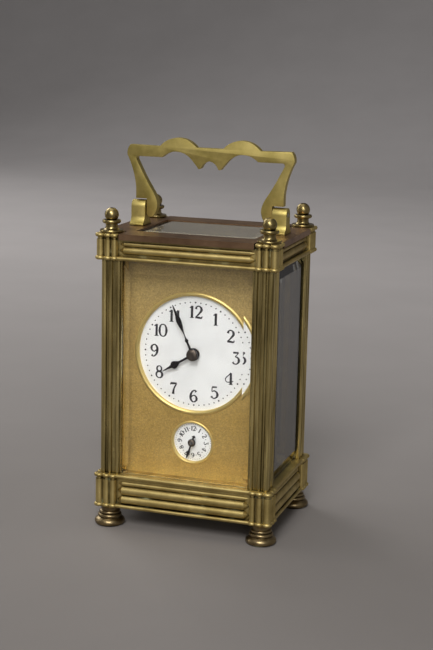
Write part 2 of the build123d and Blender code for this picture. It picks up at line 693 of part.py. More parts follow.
def minute_hand():
    """Slender spade hand on a domed boss."""
    n = MINUTE_LENGTH
    outline = (
        Polyline((0, 0), (0.42, 0), (0.36, 0.26 * n))
        + ThreePointArc((0.36, 0.26 * n), (0.68, 0.285 * n), (0.34, 0.31 * n))
        + Spline((0.34, 0.31 * n), (0.42, 0.52 * n), (0.95, 0.69 * n), (0.5, 0.79 * n))
        + Polyline((0.5, 0.79 * n), (0.08, n), (0, n), (0, 0))
    )
    face = clock_hand(outline, BOSS_RADIUS * 0.9, cannon_pipe, minute_turn)
    body = slab(Pos(0, dial_z) * face, minute_hand_back - HAND_THICKNESS, minute_hand_back)
    boss = Circle(BOSS_RADIUS * 0.9) - Circle(cannon_pipe)
    return body + slab(Pos(0, dial_z) * boss, minute_hand_back - 2 * HAND_THICKNESS, minute_hand_back)


def hour_hand():
    """Spade hand on a round boss."""
    n = HOUR_LENGTH
    outline = (
        Polyline((0, 0), (0.5, 0), (0.42, 0.44 * n))
        + Spline((0.42, 0.44 * n), (0.75, 0.5 * n), (1.45, 0.6 * n), (0.6, 0.71 * n))
        + Polyline((0.6, 0.71 * n), (0.1, n), (0, n), (0, 0))
    )
    face = clock_hand(outline, BOSS_RADIUS, hour_pipe, hour_turn)
    return slab(Pos(0, dial_z) * face, hour_hand_back - HAND_THICKNESS, hour_hand_back)


alarm_shaft_radius = 0.7


def alarm_hand():
    """Needle with an arrow tail."""
    n = ALARM_LENGTH
    outline = (
        Polyline((0, -0.45 * n), (0.85, -0.36 * n), (0.3, -0.33 * n), (0.26, 0), (0.26, 0.45 * n))
        + Polyline((0.26, 0.45 * n), (0.62, 0.6 * n), (0.06, n), (0, n), (0, -0.45 * n))
    )
    face = clock_hand(outline, ALARM_BOSS_RADIUS, alarm_shaft_radius, alarm_turn)
    return slab(Pos(0, alarm_z) * face, hour_hand_back - HAND_THICKNESS, hour_hand_back)


# Gearing


def toothed(teeth, module, turn, tip, root, share):
    """A gear's face: straight-sided teeth, each taking a share of the pitch at the pitch circle."""
    pitch_radius = teeth * module / 2
    step = 2 * pi / teeth
    half = share * step / 2
    rows = (
        (pitch_radius - root * module, -1.15 * half),
        (pitch_radius + tip * module, -0.42 * half),
        (pitch_radius + tip * module, 0.42 * half),
        (pitch_radius - root * module, 1.15 * half),
    )
    points = [
        (radius * cos(turn + tooth * step + lean), radius * sin(turn + tooth * step + lean))
        for tooth in range(teeth)
        for radius, lean in rows
    ]
    return Polygon(*points, align=None)


def wheel(teeth, module, turn):
    """A wheel's face. One tooth points along the turn."""
    return toothed(teeth, module, turn, 0.9, 1.25, 0.44)


def pinion(teeth, module, turn):
    """A pinion's face, with slimmer leaves and deeper gaps."""
    return toothed(teeth, module, turn, 0.7, 1.35, 0.36)


def meshed(teeth, driver_teeth, driver_turn, direction):
    """The turn that puts this gear's gap opposite a tooth of its driver, lying behind along direction."""
    offset = (direction - driver_turn) * driver_teeth / (2 * pi)
    return direction + pi + (offset + 0.5) * 2 * pi / teeth


def centre_distance(module, first, second):
    """Distance between the axes of two gears."""
    return module * (first + second) / 2


def crossings(hub, rim, width):
    """Openings that leave a wheel with four arms."""
    openings = Circle(rim) - Circle(hub)
    openings -= Rectangle(2 * rim, width)
    openings -= Rectangle(width, 2 * rim)
    return openings


def open_wheel(teeth, module, turn, bore):
    """A crossed-out wheel with a bore."""
    pitch_radius = teeth * module / 2
    face = wheel(teeth, module, turn)
    face -= crossings(0.28 * pitch_radius, pitch_radius - 3.6 * module, 0.16 * pitch_radius)
    return face - Circle(bore)


def ratchet(teeth, outer, depth, bore):
    """Saw-toothed wheel."""
    step = 2 * pi / teeth
    points = []
    for tooth in range(teeth):
        turn = tooth * step
        points.append((outer * cos(turn), outer * sin(turn)))
        points.append(((outer - depth) * cos(turn), (outer - depth) * sin(turn)))
    return Polygon(*points, align=None) - Circle(bore)


# Axes of the trains in the front view

barrel_reach = centre_distance(BARREL_MODULE, BARREL_TEETH, CENTRE_PINION)
barrel_z = dial_z - sqrt(barrel_reach**2 - BARREL_SIDE**2)
barrel_way = atan2(dial_z - barrel_z, -BARREL_SIDE)
contrate_z = dial_z + CONTRATE_RISE
third_reach = centre_distance(CENTRE_MODULE, CENTRE_TEETH, THIRD_PINION)
contrate_reach = centre_distance(THIRD_MODULE, THIRD_TEETH, CONTRATE_PINION)
third_up = (third_reach**2 - contrate_reach**2 + CONTRATE_RISE**2) / (2 * CONTRATE_RISE)
third_x = -sqrt(third_reach**2 - third_up**2)
third_z = dial_z + third_up
third_way = atan2(third_up, third_x)
contrate_way = atan2(contrate_z - third_z, -third_x)
motion_reach = centre_distance(MOTION_MODULE, CANNON_TEETH, MINUTE_WHEEL_TEETH)
hour_module = 2 * motion_reach / (MINUTE_PINION_TEETH + HOUR_WHEEL_TEETH)
minute_x = motion_reach * cos(MINUTE_STUD_ANGLE)
minute_z = dial_z + motion_reach * sin(MINUTE_STUD_ANGLE)
alarm_reach = centre_distance(ALARM_MODULE, ALARM_BARREL_TEETH, ALARM_PINION)
alarm_escape_x = ALARM_BARREL_X + alarm_reach * cos(ALARM_PINION_ANGLE)
alarm_escape_z = alarm_barrel_z + alarm_reach * sin(ALARM_PINION_ANGLE)

# Radii of arbors, and of the pivots at their ends
BARREL_ARBOR = 2.0
ALARM_WINDING_ARBOR = 1.6
TRAIN_ARBOR = 0.8
CENTRE_ARBOR = 0.75
PIVOT = 0.45
STUD = 0.6
CONTRATE_ARBOR = 0.7
CENTRE_SQUARE = 1.5
ALARM_SQUARE = 1.4
SQUARE_LENGTH = 3.6

# Going barrel's drum inside its teeth, and the sunk ring of its lid
DRUM_INSET, LID_RIM, LID_SUNK = 2.0, 1.2, 0.5


def pivots(radius):
    """Depths at which an arbor's thick part starts and ends, a little clear of both plates."""
    return FRONT_PLATE_BACK + radius / 4, BACK_PLATE_FRONT - radius / 4


def arbor(x, z, radius):
    """Steel arbor between the plates, with a pivot in each."""
    start, end = pivots(radius)
    body = shaft(x, z, radius, start, end)
    return body + shaft(x, z, PIVOT, front_plate_front, back_plate_back)


def pinion_at(wheel_at):
    """Depths of a pinion that meshes with a wheel."""
    return wheel_at[0] - PINION_OVERHANG, wheel_at[1] + PINION_OVERHANG


def squared_end(x, z, radius):
    """Square at the back of an arbor, for a key."""
    side = radius * 1.3
    return slab(Pos(x, z) * Rectangle(side, side), SQUARE_END - SQUARE_LENGTH, SQUARE_END)


def going_barrel():
    """Closed spring barrel with its toothed rim, free on the winding arbor."""
    pitch_radius = BARREL_MODULE * BARREL_TEETH / 2
    face = wheel(BARREL_TEETH, BARREL_MODULE, barrel_way)
    body = slab(Pos(BARREL_SIDE, barrel_z) * face, *BARREL_WHEEL_AT)
    body += shaft(BARREL_SIDE, barrel_z, pitch_radius - DRUM_INSET, *BARREL_DRUM_AT)
    lid = BARREL_DRUM_AT[1]
    sunk_ring = Circle(pitch_radius - DRUM_INSET - LID_RIM) - Circle(2 * BARREL_ARBOR)
    body -= slab(Pos(BARREL_SIDE, barrel_z) * sunk_ring, lid - LID_SUNK, lid)
    return body - shaft(BARREL_SIDE, barrel_z, BARREL_ARBOR + RUNNING, BARREL_WHEEL_AT[0], lid)


def winding_arbor(x, z, radius):
    """Winding arbor through a barrel, squared behind the back plate."""
    body = shaft(x, z, radius, FRONT_PLATE_BACK + FIT, SQUARE_END - SQUARE_LENGTH)
    body += shaft(x, z, radius * 0.6, front_plate_front, FRONT_PLATE_BACK + FIT)
    return body + squared_end(x, z, radius)


RATCHET_RADIUS = 6.2
RATCHET_DEPTH = 0.9
RATCHET_AT = (back_plate_back + 0.2, back_plate_back + 1.2)
CLICK_ANGLE = radians(38)  # direction from the ratchet to the click's point
CLICK_TRAIL = 0.62  # angle from the click's point back to its stud
CLICK_EYE, CLICK_BACK, CLICK_THROAT = 1.5, 1.4, 0.2  # round its stud, and where the beak leaves it
click_reach = RATCHET_RADIUS + 2.2
click_x = BARREL_SIDE + click_reach * cos(CLICK_ANGLE + CLICK_TRAIL)
click_z = barrel_z + click_reach * sin(CLICK_ANGLE + CLICK_TRAIL)


def going_ratchet():
    """Ratchet wheel, fast on the winding arbor behind the back plate."""
    face = ratchet(RATCHET_TEETH, RATCHET_RADIUS, RATCHET_DEPTH, BARREL_ARBOR)
    return slab(Pos(BARREL_SIDE, barrel_z) * face, *RATCHET_AT)


def going_click():
    """Click on its own stud, its point resting just clear of the ratchet's teeth."""
    tip = RATCHET_RADIUS + 0.15
    tip_x = BARREL_SIDE + tip * cos(CLICK_ANGLE)
    tip_z = barrel_z + tip * sin(CLICK_ANGLE)
    outward = CLICK_ANGLE + CLICK_TRAIL
    outer = (click_x + CLICK_BACK * cos(outward), click_z + CLICK_BACK * sin(outward))
    inner = (click_x - CLICK_THROAT * cos(outward), click_z - CLICK_THROAT * sin(outward))
    beak = Polygon((tip_x, tip_z), outer, inner, align=None)
    face = beak + Pos(click_x, click_z) * Circle(CLICK_EYE) - Pos(click_x, click_z) * Circle(STUD + RUNNING)
    return slab(face, *RATCHET_AT)


def centre_arbor():
    """Centre arbor: pinion, pivots, a long front end for the cannon pinion and a square behind."""
    at = pinion_at(BARREL_WHEEL_AT)
    leaf_turn = meshed(CENTRE_PINION, BARREL_TEETH, barrel_way, barrel_way)
    body = shaft(0, dial_z, TRAIN_ARBOR + 0.2, *pivots(TRAIN_ARBOR))
    body += slab(Pos(0, dial_z) * pinion(CENTRE_PINION, BARREL_MODULE, leaf_turn), *at)
    body += shaft(0, dial_z, CENTRE_ARBOR, minute_hand_back - 3 * HAND_THICKNESS, SQUARE_END - SQUARE_LENGTH)
    body += shaft(0, dial_z, CENTRE_SQUARE, back_plate_back + 0.2, SQUARE_END - SQUARE_LENGTH)
    return body + squared_end(0, dial_z, CENTRE_SQUARE)


def third_arbor():
    """Third arbor with the pinion that the centre wheel drives."""
    leaf_turn = meshed(THIRD_PINION, CENTRE_TEETH, third_way, third_way)
    leaves = Pos(third_x, third_z) * pinion(THIRD_PINION, CENTRE_MODULE, leaf_turn)
    return arbor(third_x, third_z, TRAIN_ARBOR) + slab(leaves, *pinion_at(CENTRE_WHEEL_AT))


def contrate_arbor():
    """Contrate arbor with the pinion that the third wheel drives."""
    leaf_turn = meshed(CONTRATE_PINION, THIRD_TEETH, contrate_way, contrate_way)
    leaves = Pos(0, contrate_z) * pinion(CONTRATE_PINION, THIRD_MODULE, leaf_turn)
    return arbor(0, contrate_z, CONTRATE_ARBOR) + slab(leaves, *pinion_at(THIRD_WHEEL_AT))


escape_pitch = CONTRATE_MODULE * ESCAPE_PINION / 2
crown_tip = -escape_pitch + 0.9 * CONTRATE_MODULE
crown_root = -escape_pitch - 1.1 * CONTRATE_MODULE
crown_pitch = CONTRATE_MODULE * CONTRATE_TEETH / 2
CROWN_FACE = 1.2  # width of the crown teeth, along the wheel's radius


def contrate_wheel():
    """Crown wheel: its teeth point back, square to the wheel, and drive the upright escape pinion."""
    inner, outer = crown_pitch - CROWN_FACE / 2, crown_pitch + CROWN_FACE / 2
    disc = Circle(outer) - Circle(CONTRATE_ARBOR) - crossings(1.9, inner - 0.4, 1.2)
    body = slab(Pos(0, contrate_z) * disc, crown_root - 1.5, crown_root - 0.6)
    rim = Circle(outer) - Circle(inner)
    body += slab(Pos(0, contrate_z) * rim, crown_root - 1.5, crown_root)
    pitch = pi * CONTRATE_MODULE
    wide, narrow = 0.27 * pitch, 0.1 * pitch
    buried = crown_root - 0.2
    sides = Polyline((-wide, buried), (wide, buried), (narrow, crown_tip), (-narrow, crown_tip), close=True)
    tooth = make_face(sides)
    bar = extrude(Pos(0, 0, inner + 0.05) * tooth, CROWN_FACE - 0.1)
    teeth = [Pos(0, 0, contrate_z) * Rot(0, 360 * i / CONTRATE_TEETH, 0) * bar for i in range(CONTRATE_TEETH)]
    return body + teeth


# Motion work, between the front plate and the dial

CANNON_AT = (front_plate_front - 1.4, front_plate_front - 0.3)
HOUR_WHEEL_AT = (CANNON_AT[0] - 1.1, CANNON_AT[0] - 0.3)


def cannon_pinion():
    """Cannon pinion, friction tight on the centre arbor, whose pipe carries the minute hand."""
    leaves = pinion(CANNON_TEETH, MOTION_MODULE, MINUTE_STUD_ANGLE)
    body = slab(Pos(0, dial_z) * leaves, *CANNON_AT)
    body += shaft(0, dial_z, cannon_pipe, minute_hand_back - 2 * HAND_THICKNESS, CANNON_AT[1])
    return body - shaft(0, dial_z, CENTRE_ARBOR, minute_hand_back - 2 * HAND_THICKNESS, CANNON_AT[1])


def minute_wheel():
    """Minute wheel and its pinion on a stud of the front plate."""
    turn = meshed(MINUTE_WHEEL_TEETH, CANNON_TEETH, MINUTE_STUD_ANGLE, MINUTE_STUD_ANGLE)
    middle = Pos(minute_x, minute_z)
    body = slab(middle * wheel(MINUTE_WHEEL_TEETH, MOTION_MODULE, turn), *CANNON_AT)
    leaves = pinion(MINUTE_PINION_TEETH, hour_module, MINUTE_STUD_ANGLE + pi)
    body += slab(middle * leaves, HOUR_WHEEL_AT[0] - 0.2, CANNON_AT[0])
    return body - shaft(minute_x, minute_z, STUD + RUNNING, HOUR_WHEEL_AT[0] - 0.2, CANNON_AT[1])


def hour_wheel():
    """Hour wheel, whose pipe carries the hour hand."""
    turn = meshed(HOUR_WHEEL_TEETH, MINUTE_PINION_TEETH, MINUTE_STUD_ANGLE + pi, MINUTE_STUD_ANGLE + pi)
    body = slab(Pos(0, dial_z) * wheel(HOUR_WHEEL_TEETH, hour_module, turn), *HOUR_WHEEL_AT)
    pipe_front = hour_hand_back - HAND_THICKNESS - 0.2
    body += shaft(0, dial_z, hour_pipe, pipe_front, HOUR_WHEEL_AT[1])
    return body - shaft(0, dial_z, hour_bore, pipe_front, HOUR_WHEEL_AT[1])


# Plates

pillar_levels = (base_top + PLATE_PILLAR_INSET[0], plate_top - PLATE_PILLAR_INSET[1])
train_pivots = [(third_x, third_z), (0, contrate_z), (alarm_escape_x, alarm_escape_z), (HAMMER_X, hammer_z)]
winding_arbors = [
    (BARREL_SIDE, barrel_z, BARREL_ARBOR),
    (ALARM_BARREL_X, alarm_barrel_z, ALARM_WINDING_ARBOR),
]


def plate(y_front, y_back):
    """A movement plate with the holes that both plates share."""
    face = rectangle(-PLATE_HALF, base_top, PLATE_HALF, plate_top)
    for x, z in train_pivots:
        face -= Pos(x, z) * Circle(PIVOT + RUNNING)
    face -= Pos(0, dial_z) * Circle(CENTRE_ARBOR + RUNNING)
    face -= Pos(0, alarm_z) * Circle(alarm_shaft_radius + RUNNING)
    return slab(face, y_front, y_back)


def front_plate():
    """Front plate with the stud of the minute wheel."""
    body = plate(front_plate_front, FRONT_PLATE_BACK)
    for x, z, radius in winding_arbors:
        body -= shaft(x, z, radius * 0.6 + RUNNING, front_plate_front, FRONT_PLATE_BACK)
    return body + shaft(minute_x, minute_z, STUD, HOUR_WHEEL_AT[0] - 0.4, front_plate_front)


def back_plate():
    """Back plate with the bearings of the winding arbors and the stud of the click."""
    body = plate(BACK_PLATE_FRONT, back_plate_back)
    for x, z, radius in winding_arbors:
        body -= shaft(x, z, radius + RUNNING, BACK_PLATE_FRONT, back_plate_back)
    body += shaft(click_x, click_z, STUD, back_plate_back, RATCHET_AT[1] + 0.2)
    return body + shaft(click_x, click_z, 1.2, RATCHET_AT[1] + 0.2, RATCHET_AT[1] + 0.8)


def plate_pillars():
    """Four turned pillars that keep the plates apart."""
    gap = BACK_PLATE_FRONT - FRONT_PLATE_BACK
    r = PLATE_PILLAR_RADIUS
    outline = (
        Polyline((0, gap), (0, 0), (r, 0), (r, 0.12 * gap), (0.75 * r, 0.16 * gap))
        + ThreePointArc((0.75 * r, 0.16 * gap), (0.95 * r, 0.5 * gap), (0.75 * r, 0.84 * gap))
        + Polyline((0.75 * r, 0.84 * gap), (r, 0.88 * gap), (r, gap), (0, gap))
    )
    post = revolve(make_face(outline), Axis.Y)
    places = [(x, z) for x in (-PLATE_PILLAR_X, PLATE_PILLAR_X) for z in pillar_levels]
    return Compound(children=[Pos(x, FRONT_PLATE_BACK, z) * post for x, z in places])


# Alarm


def alarm_barrel():
    """Alarm spring barrel with its toothed rim."""
    pitch_radius = ALARM_MODULE * ALARM_BARREL_TEETH / 2
    middle = Pos(ALARM_BARREL_X, alarm_barrel_z)
    body = slab(middle * wheel(ALARM_BARREL_TEETH, ALARM_MODULE, ALARM_PINION_ANGLE), *ALARM_WHEEL_AT)
    body += slab(middle * Circle(pitch_radius - 0.9), *ALARM_DRUM_AT)
    return body - slab(middle * Circle(ALARM_WINDING_ARBOR + RUNNING), ALARM_WHEEL_AT[0], ALARM_DRUM_AT[1])


def alarm_escape_wheel():
    """Alarm escape wheel on its pinion arbor."""
    leaf_turn = meshed(ALARM_PINION, ALARM_BARREL_TEETH, ALARM_PINION_ANGLE, ALARM_PINION_ANGLE)
    middle = Pos(alarm_escape_x, alarm_escape_z)
    body = arbor(alarm_escape_x, alarm_escape_z, TRAIN_ARBOR)
    body += slab(middle * pinion(ALARM_PINION, ALARM_MODULE, leaf_turn), *pinion_at(ALARM_WHEEL_AT))
    teeth = ratchet(ALARM_ESCAPE_TEETH, ALARM_ESCAPE_RADIUS, 1.3, TRAIN_ARBOR / 2)
    return body + slab(middle * teeth, *ALARM_ESCAPE_AT)


bell_top = base_top - DECK_THICKNESS - 2.4
bell_mouth = bell_top - BELL_HEIGHT
hammer_head_z = bell_mouth + 2.2
hammer_lean = (HAMMER_HEAD_X - HAMMER_X) / (hammer_z - hammer_head_z)
bell_x = HAMMER_HEAD_X - HAMMER_HEAD_HALF - HAMMER_GAP - BELL_RADIUS


def alarm_hammer():
    """Hammer on its arbor: a pallet arm by the escape wheel, a rod through the deck, a head by the bell."""
    body = arbor(HAMMER_X, hammer_z, TRAIN_ARBOR)
    reach = hypot(alarm_escape_x - HAMMER_X, alarm_escape_z - hammer_z) - ALARM_ESCAPE_RADIUS - 0.4
    way = degrees(atan2(alarm_escape_z - hammer_z, alarm_escape_x - HAMMER_X))
    pallet = Polygon((0, -1.0), (reach, -0.9), (reach, 0.9), (0, 1.0), align=None) + Circle(1.8)
    body += slab(Pos(HAMMER_X, hammer_z) * Rot(0, 0, way) * pallet, *ALARM_ESCAPE_AT)
    length = hypot(HAMMER_HEAD_X - HAMMER_X, hammer_z - hammer_head_z)
    down = Vector(HAMMER_HEAD_X - HAMMER_X, 0, hammer_head_z - hammer_z)
    rod = Plane(origin=(HAMMER_X, hammer_depth, hammer_z), z_dir=down)
    body += extrude(rod * Circle(HAMMER_ROD_RADIUS), length)
    head = Plane(origin=(HAMMER_HEAD_X - HAMMER_HEAD_HALF, hammer_depth, hammer_head_z), z_dir=(1, 0, 0))
    return body + extrude(head * Circle(HAMMER_HEAD_RADIUS), 2 * HAMMER_HEAD_HALF)


def alarm_shaft():
    """Alarm setting arbor, from the alarm hand through both plates to a square behind."""
    front = hour_hand_back - HAND_THICKNESS - 0.5
    body = shaft(0, alarm_z, alarm_shaft_radius, front, SQUARE_END - SQUARE_LENGTH)
    body += shaft(0, alarm_z, ALARM_SQUARE, FRONT_PLATE_BACK + 0.3, FRONT_PLATE_BACK + 1.3)
    body += shaft(0, alarm_z, ALARM_SQUARE, back_plate_back + 0.2, SQUARE_END - SQUARE_LENGTH)
    return body + squared_end(0, alarm_z, ALARM_SQUARE)


def bell():
    """Turned bell, mouth down under the deck, on its post."""
    deck = base_top - DECK_THICKNESS
    inner = BELL_RADIUS - BELL_WALL
    under = bell_top - BELL_WALL
    nut, post, nut_bottom = 2.0, 1.5, bell_top - 1.6
    bend_in = (0.72 * inner, under - 0.3 * BELL_HEIGHT)
    bend_out = (0.72 * BELL_RADIUS, bell_top - 0.28 * BELL_HEIGHT)
    outline = (
        Polyline((0, deck), (0, nut_bottom), (nut, nut_bottom), (nut, under))
        + ThreePointArc((nut, under), bend_in, (inner, bell_mouth))
        + Line((inner, bell_mouth), (BELL_RADIUS, bell_mouth))
        + ThreePointArc((BELL_RADIUS, bell_mouth), bend_out, (nut, bell_top))
        + Polyline((nut, bell_top), (post, bell_top), (post, deck), (0, deck))
    )
    return turned(outline, bell_x, hammer_depth)


# Platform escapement

platform_top = plate_top + PLATFORM_THICKNESS
ESCAPE_LEVEL = platform_top + 1.6
BALANCE_LEVEL = platform_top + 4.6
COCK_LEVEL = platform_top + 6.9
escape_foot = contrate_z + crown_pitch - CROWN_FACE / 2 - 1.6
LEVER_X, LEVER_Y = 4.4, 0.3
STAFF = 0.4


def platform():
    """Platform on the plates' top edges, with a potence below for the escape pinion."""
    plan = rectangle(-PLATFORM_HALF, front_plate_front, PLATFORM_HALF, back_plate_back)
    plan -= Circle(1.3)
    for x, y in ((LEVER_X, LEVER_Y), (BALANCE_X, BALANCE_Y)):
        plan -= Pos(x, y) * Circle(STAFF + RUNNING)
    body = upright(plan, plate_top, platform_top)
    body += block(-1.6, 1.9, escape_foot, 1.6, 2.9, plate_top)
    body += block(-1.6, -0.7, escape_foot, 1.6, 2.9, escape_foot + 0.8)
    return body - upright(Circle(STAFF + RUNNING), escape_foot, escape_foot + 0.8)


def escape_wheel():
    """Escape wheel, its pinion below the platform."""
    bottom = escape_foot
    body = upright(Circle(STAFF), bottom, ESCAPE_LEVEL + 1.4)
    leaf_turn = pi / 2
    leaves = toothed(ESCAPE_PINION, CONTRATE_MODULE, leaf_turn + pi / ESCAPE_PINION, 0.7, 1.1, 0.36)
    body += upright(leaves, bottom + 1.2, bottom + 3.4)
    teeth = ratchet(ESCAPE_TEETH, ESCAPE_RADIUS, 0.8, STAFF / 2)
    return body + upright(teeth, ESCAPE_LEVEL, ESCAPE_LEVEL + 0.5)


def lever():
    """Pallet lever between the escape wheel and the balance."""
    tip = ESCAPE_RADIUS + 0.3
    spread = radians(36)
    face = Polygon(
        (LEVER_X - 0.5, LEVER_Y),
        (tip * cos(spread), tip * sin(spread)),
        (tip * cos(spread) + 0.5, tip * sin(spread) + 0.4),
        (LEVER_X + 0.5, LEVER_Y + 0.5),
        (LEVER_X + 1.9, LEVER_Y + 0.35),
        (LEVER_X + 1.9, LEVER_Y - 0.05),
        (LEVER_X + 0.5, LEVER_Y - 0.5),
        (tip * cos(spread) + 0.5, -tip * sin(spread) - 0.4),
        (tip * cos(spread), -tip * sin(spread)),
        align=None,
    )
    face -= Circle(ESCAPE_RADIUS + 0.15)
    body = upright(face, ESCAPE_LEVEL, ESCAPE_LEVEL + 0.5)
    return body + Pos(LEVER_X, LEVER_Y) * upright(Circle(STAFF), plate_top, ESCAPE_LEVEL + 1.4)


def balance():
    """Balance wheel with two arms and rim screws, on its staff."""
    rim = Circle(BALANCE_RADIUS) - Circle(BALANCE_RADIUS - 0.9) + Rectangle(2 * BALANCE_RADIUS - 1, 1.0)
    body = upright(rim, BALANCE_LEVEL, BALANCE_LEVEL + 0.9)
    body += upright(Circle(STAFF), plate_top, COCK_LEVEL)
    body += upright(Circle(0.9), BALANCE_LEVEL - 0.6, BALANCE_LEVEL + 1.2)
    return Pos(BALANCE_X, BALANCE_Y) * body


def balance_cock():
    """Cock that carries the upper pivot of the balance."""
    foot_y = BALANCE_Y + BALANCE_RADIUS + 0.5
    far = back_plate_back - 0.5
    body = block(BALANCE_X - 2.2, foot_y, platform_top, BALANCE_X + 2.2, far, COCK_LEVEL)
    arm = rectangle(BALANCE_X - 1.6, BALANCE_Y, BALANCE_X + 1.6, foot_y)
    arm += rectangle(BALANCE_X - 2.2, foot_y, BALANCE_X + 2.2, far)
    arm += Pos(BALANCE_X, BALANCE_Y) * Circle(2.2)
    body += upright(arm, COCK_LEVEL, COCK_LEVEL + 1.2)
    return body


def regulator():
    """Index on top of the cock, turned by its tail to regulate the clock."""
    face = Circle(1.7) + Polygon((-0.5, 0), (-0.15, -5.2), (0.15, -5.2), (0.5, 0), align=None)
    top = COCK_LEVEL + 1.2
    return Pos(BALANCE_X, BALANCE_Y) * upright(face, top + 0.05, top + 0.45)


def train_wheel(x, z, face, at):
    """A wheel at its place in the train."""
    return slab(Pos(x, z) * face, *at)


os.makedirs("parts", exist_ok=True)

save(base_frame(), "base_frame")
save(cornice_frame(), "cornice_frame")
save(top_plate(), "top_plate")
save(Compound(children=[at_corner(foot(), *side) for side in corners]), "feet")
save(Compound(children=[at_corner(finial(), *side) for side in corners]), "finials")
for name, side_x, side_y in (
    ("pillar_front_left", -1, -1),
    ("pillar_front_right", 1, -1),
    ("pillar_rear_left", -1, 1),
    ("pillar_rear_right", 1, 1),
):
    save(at_corner(pillar(side_y < 0, True), side_x, side_y), name)

front_opening = 2 * (corner_x - PILLAR_INNER)
side_opening = 2 * (corner_y - PILLAR_INNER)
save(wall_glass(front_opening, corner_y), "front_glass")
save(Rot(0, 0, -90) * wall_glass(side_opening, corner_x), "left_glass")
save(Rot(0, 0, 90) * wall_glass(side_opening, corner_x), "right_glass")
save(top_glass(), "top_glass")

save(door_frame(), "door_frame")
save(door_glass(), "door_glass")
save(door_pins(), "door_pins")
save(door_knob(), "door_knob")

save(handle(), "handle")
save(bracket(-1), "handle_bracket_left")
save(bracket(1), "handle_bracket_right")
save(hinge_pins(), "handle_pins")

save(dial_mask(), "dial_mask")
main_feet = [radians(turn) for turn in (90, -150, -30)]
save(enamel_dial(DIAL_RADIUS, dial_z, hour_pipe + DIAL_HOLE_GAP, main_feet), "main_dial")
save(enamel_dial(ALARM_RADIUS, alarm_z, alarm_shaft_radius + DIAL_HOLE_GAP, (0.0, pi)), "alarm_dial")
save(hour_hand(), "hour_hand")
save(minute_hand(), "minute_hand")
save(alarm_hand(), "alarm_hand")

save(front_plate(), "front_plate")
save(back_plate(), "back_plate")
save(plate_pillars(), "plate_pillars")
save(going_barrel(), "going_barrel")
save(winding_arbor(BARREL_SIDE, barrel_z, BARREL_ARBOR), "going_winding_arbor")
save(going_ratchet(), "going_ratchet")
save(going_click(), "going_click")
save(centre_arbor(), "centre_arbor")
centre_face = open_wheel(CENTRE_TEETH, CENTRE_MODULE, third_way, TRAIN_ARBOR + 0.2)
save(train_wheel(0, dial_z, centre_face, CENTRE_WHEEL_AT), "centre_wheel")
save(third_arbor(), "third_arbor")
third_face = open_wheel(THIRD_TEETH, THIRD_MODULE, contrate_way, TRAIN_ARBOR)
save(train_wheel(third_x, third_z, third_face, THIRD_WHEEL_AT), "third_wheel")
save(contrate_arbor(), "contrate_arbor")
save(contrate_wheel(), "contrate_wheel")
save(cannon_pinion(), "cannon_pinion")
save(minute_wheel(), "minute_wheel")
save(hour_wheel(), "hour_wheel")

save(alarm_barrel(), "alarm_barrel")
save(winding_arbor(ALARM_BARREL_X, alarm_barrel_z, ALARM_WINDING_ARBOR), "alarm_winding_arbor")
save(alarm_escape_wheel(), "alarm_escape_wheel")
save(alarm_hammer(), "alarm_hammer")
save(alarm_shaft(), "alarm_shaft")
save(bell(), "bell")

save(platform(), "platform")
save(escape_wheel(), "escape_wheel")
save(lever(), "lever")
save(balance(), "balance")
save(balance_cock(), "balance_cock")
save(regulator(), "regulator")
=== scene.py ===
# %% [markdown]
# A brass carriage clock with an alarm dial. The measured solids come in as a fixed frame, and this
# lesson dresses them: metal, glass and enamel finishes, painted dials, rounded castings and small
# fasteners. Everything is in metres, the dial faces -Y and the feet stand on z = 0.

# %% Load the measured solids
from math import cos, pi, radians, sin

import bpy
from mathutils import Matrix, Vector


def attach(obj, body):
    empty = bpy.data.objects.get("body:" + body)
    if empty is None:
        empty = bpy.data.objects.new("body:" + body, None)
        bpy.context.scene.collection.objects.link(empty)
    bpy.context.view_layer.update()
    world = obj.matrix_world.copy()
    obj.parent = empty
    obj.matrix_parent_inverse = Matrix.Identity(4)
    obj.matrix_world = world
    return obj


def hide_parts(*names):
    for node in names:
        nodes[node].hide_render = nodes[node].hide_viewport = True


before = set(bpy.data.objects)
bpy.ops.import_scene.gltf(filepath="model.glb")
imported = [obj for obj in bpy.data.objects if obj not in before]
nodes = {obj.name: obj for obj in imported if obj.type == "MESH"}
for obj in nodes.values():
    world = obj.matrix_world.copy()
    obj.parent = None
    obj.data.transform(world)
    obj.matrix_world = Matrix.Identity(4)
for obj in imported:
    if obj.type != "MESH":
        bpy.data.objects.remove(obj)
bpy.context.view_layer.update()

scene = bpy.context.scene
MM = 0.001

# %% [markdown]
# The camera. The photograph was measured by matching the case's corners: the lens looks down about
# twelve degrees from the right of the dial, and leans a little. A focal length of 82 mm on a 36 mm
# frame keeps the mild perspective of the picture. Building the camera from its own three directions
# leaves no guess about the order of turns.

# %% Camera at the photograph's angle
azimuth, elevation, lean = radians(17.953), radians(11.919), radians(-1.237)
aim_right, aim_up, distance = 3.631 * MM, 78.941 * MM, 588.97 * MM
film_height, picture_rows, focal_in_rows = 36, 650, 1480
back = Vector((sin(azimuth) * cos(elevation), -cos(azimuth) * cos(elevation), sin(elevation)))
right = Vector((cos(azimuth), sin(azimuth), 0))
up = back.cross(right)
camera_data = bpy.data.cameras.new("photo_lens")
camera_data.sensor_fit = "VERTICAL"
camera_data.sensor_height = film_height
camera_data.lens = focal_in_rows * film_height / picture_rows
camera = bpy.data.objects.new("photo_camera", camera_data)
scene.collection.objects.link(camera)
stand = right * aim_right + Vector((0, 0, aim_up)) + back * distance
turn = Matrix((right, up, back)).transposed() @ Matrix.Rotation(-lean, 3, "Z")
camera.matrix_world = Matrix.Translation(stand) @ turn.to_4x4()
scene.camera = camera
scene.view_settings.view_transform = "Standard"
print("camera at", [round(v, 3) for v in camera.location])

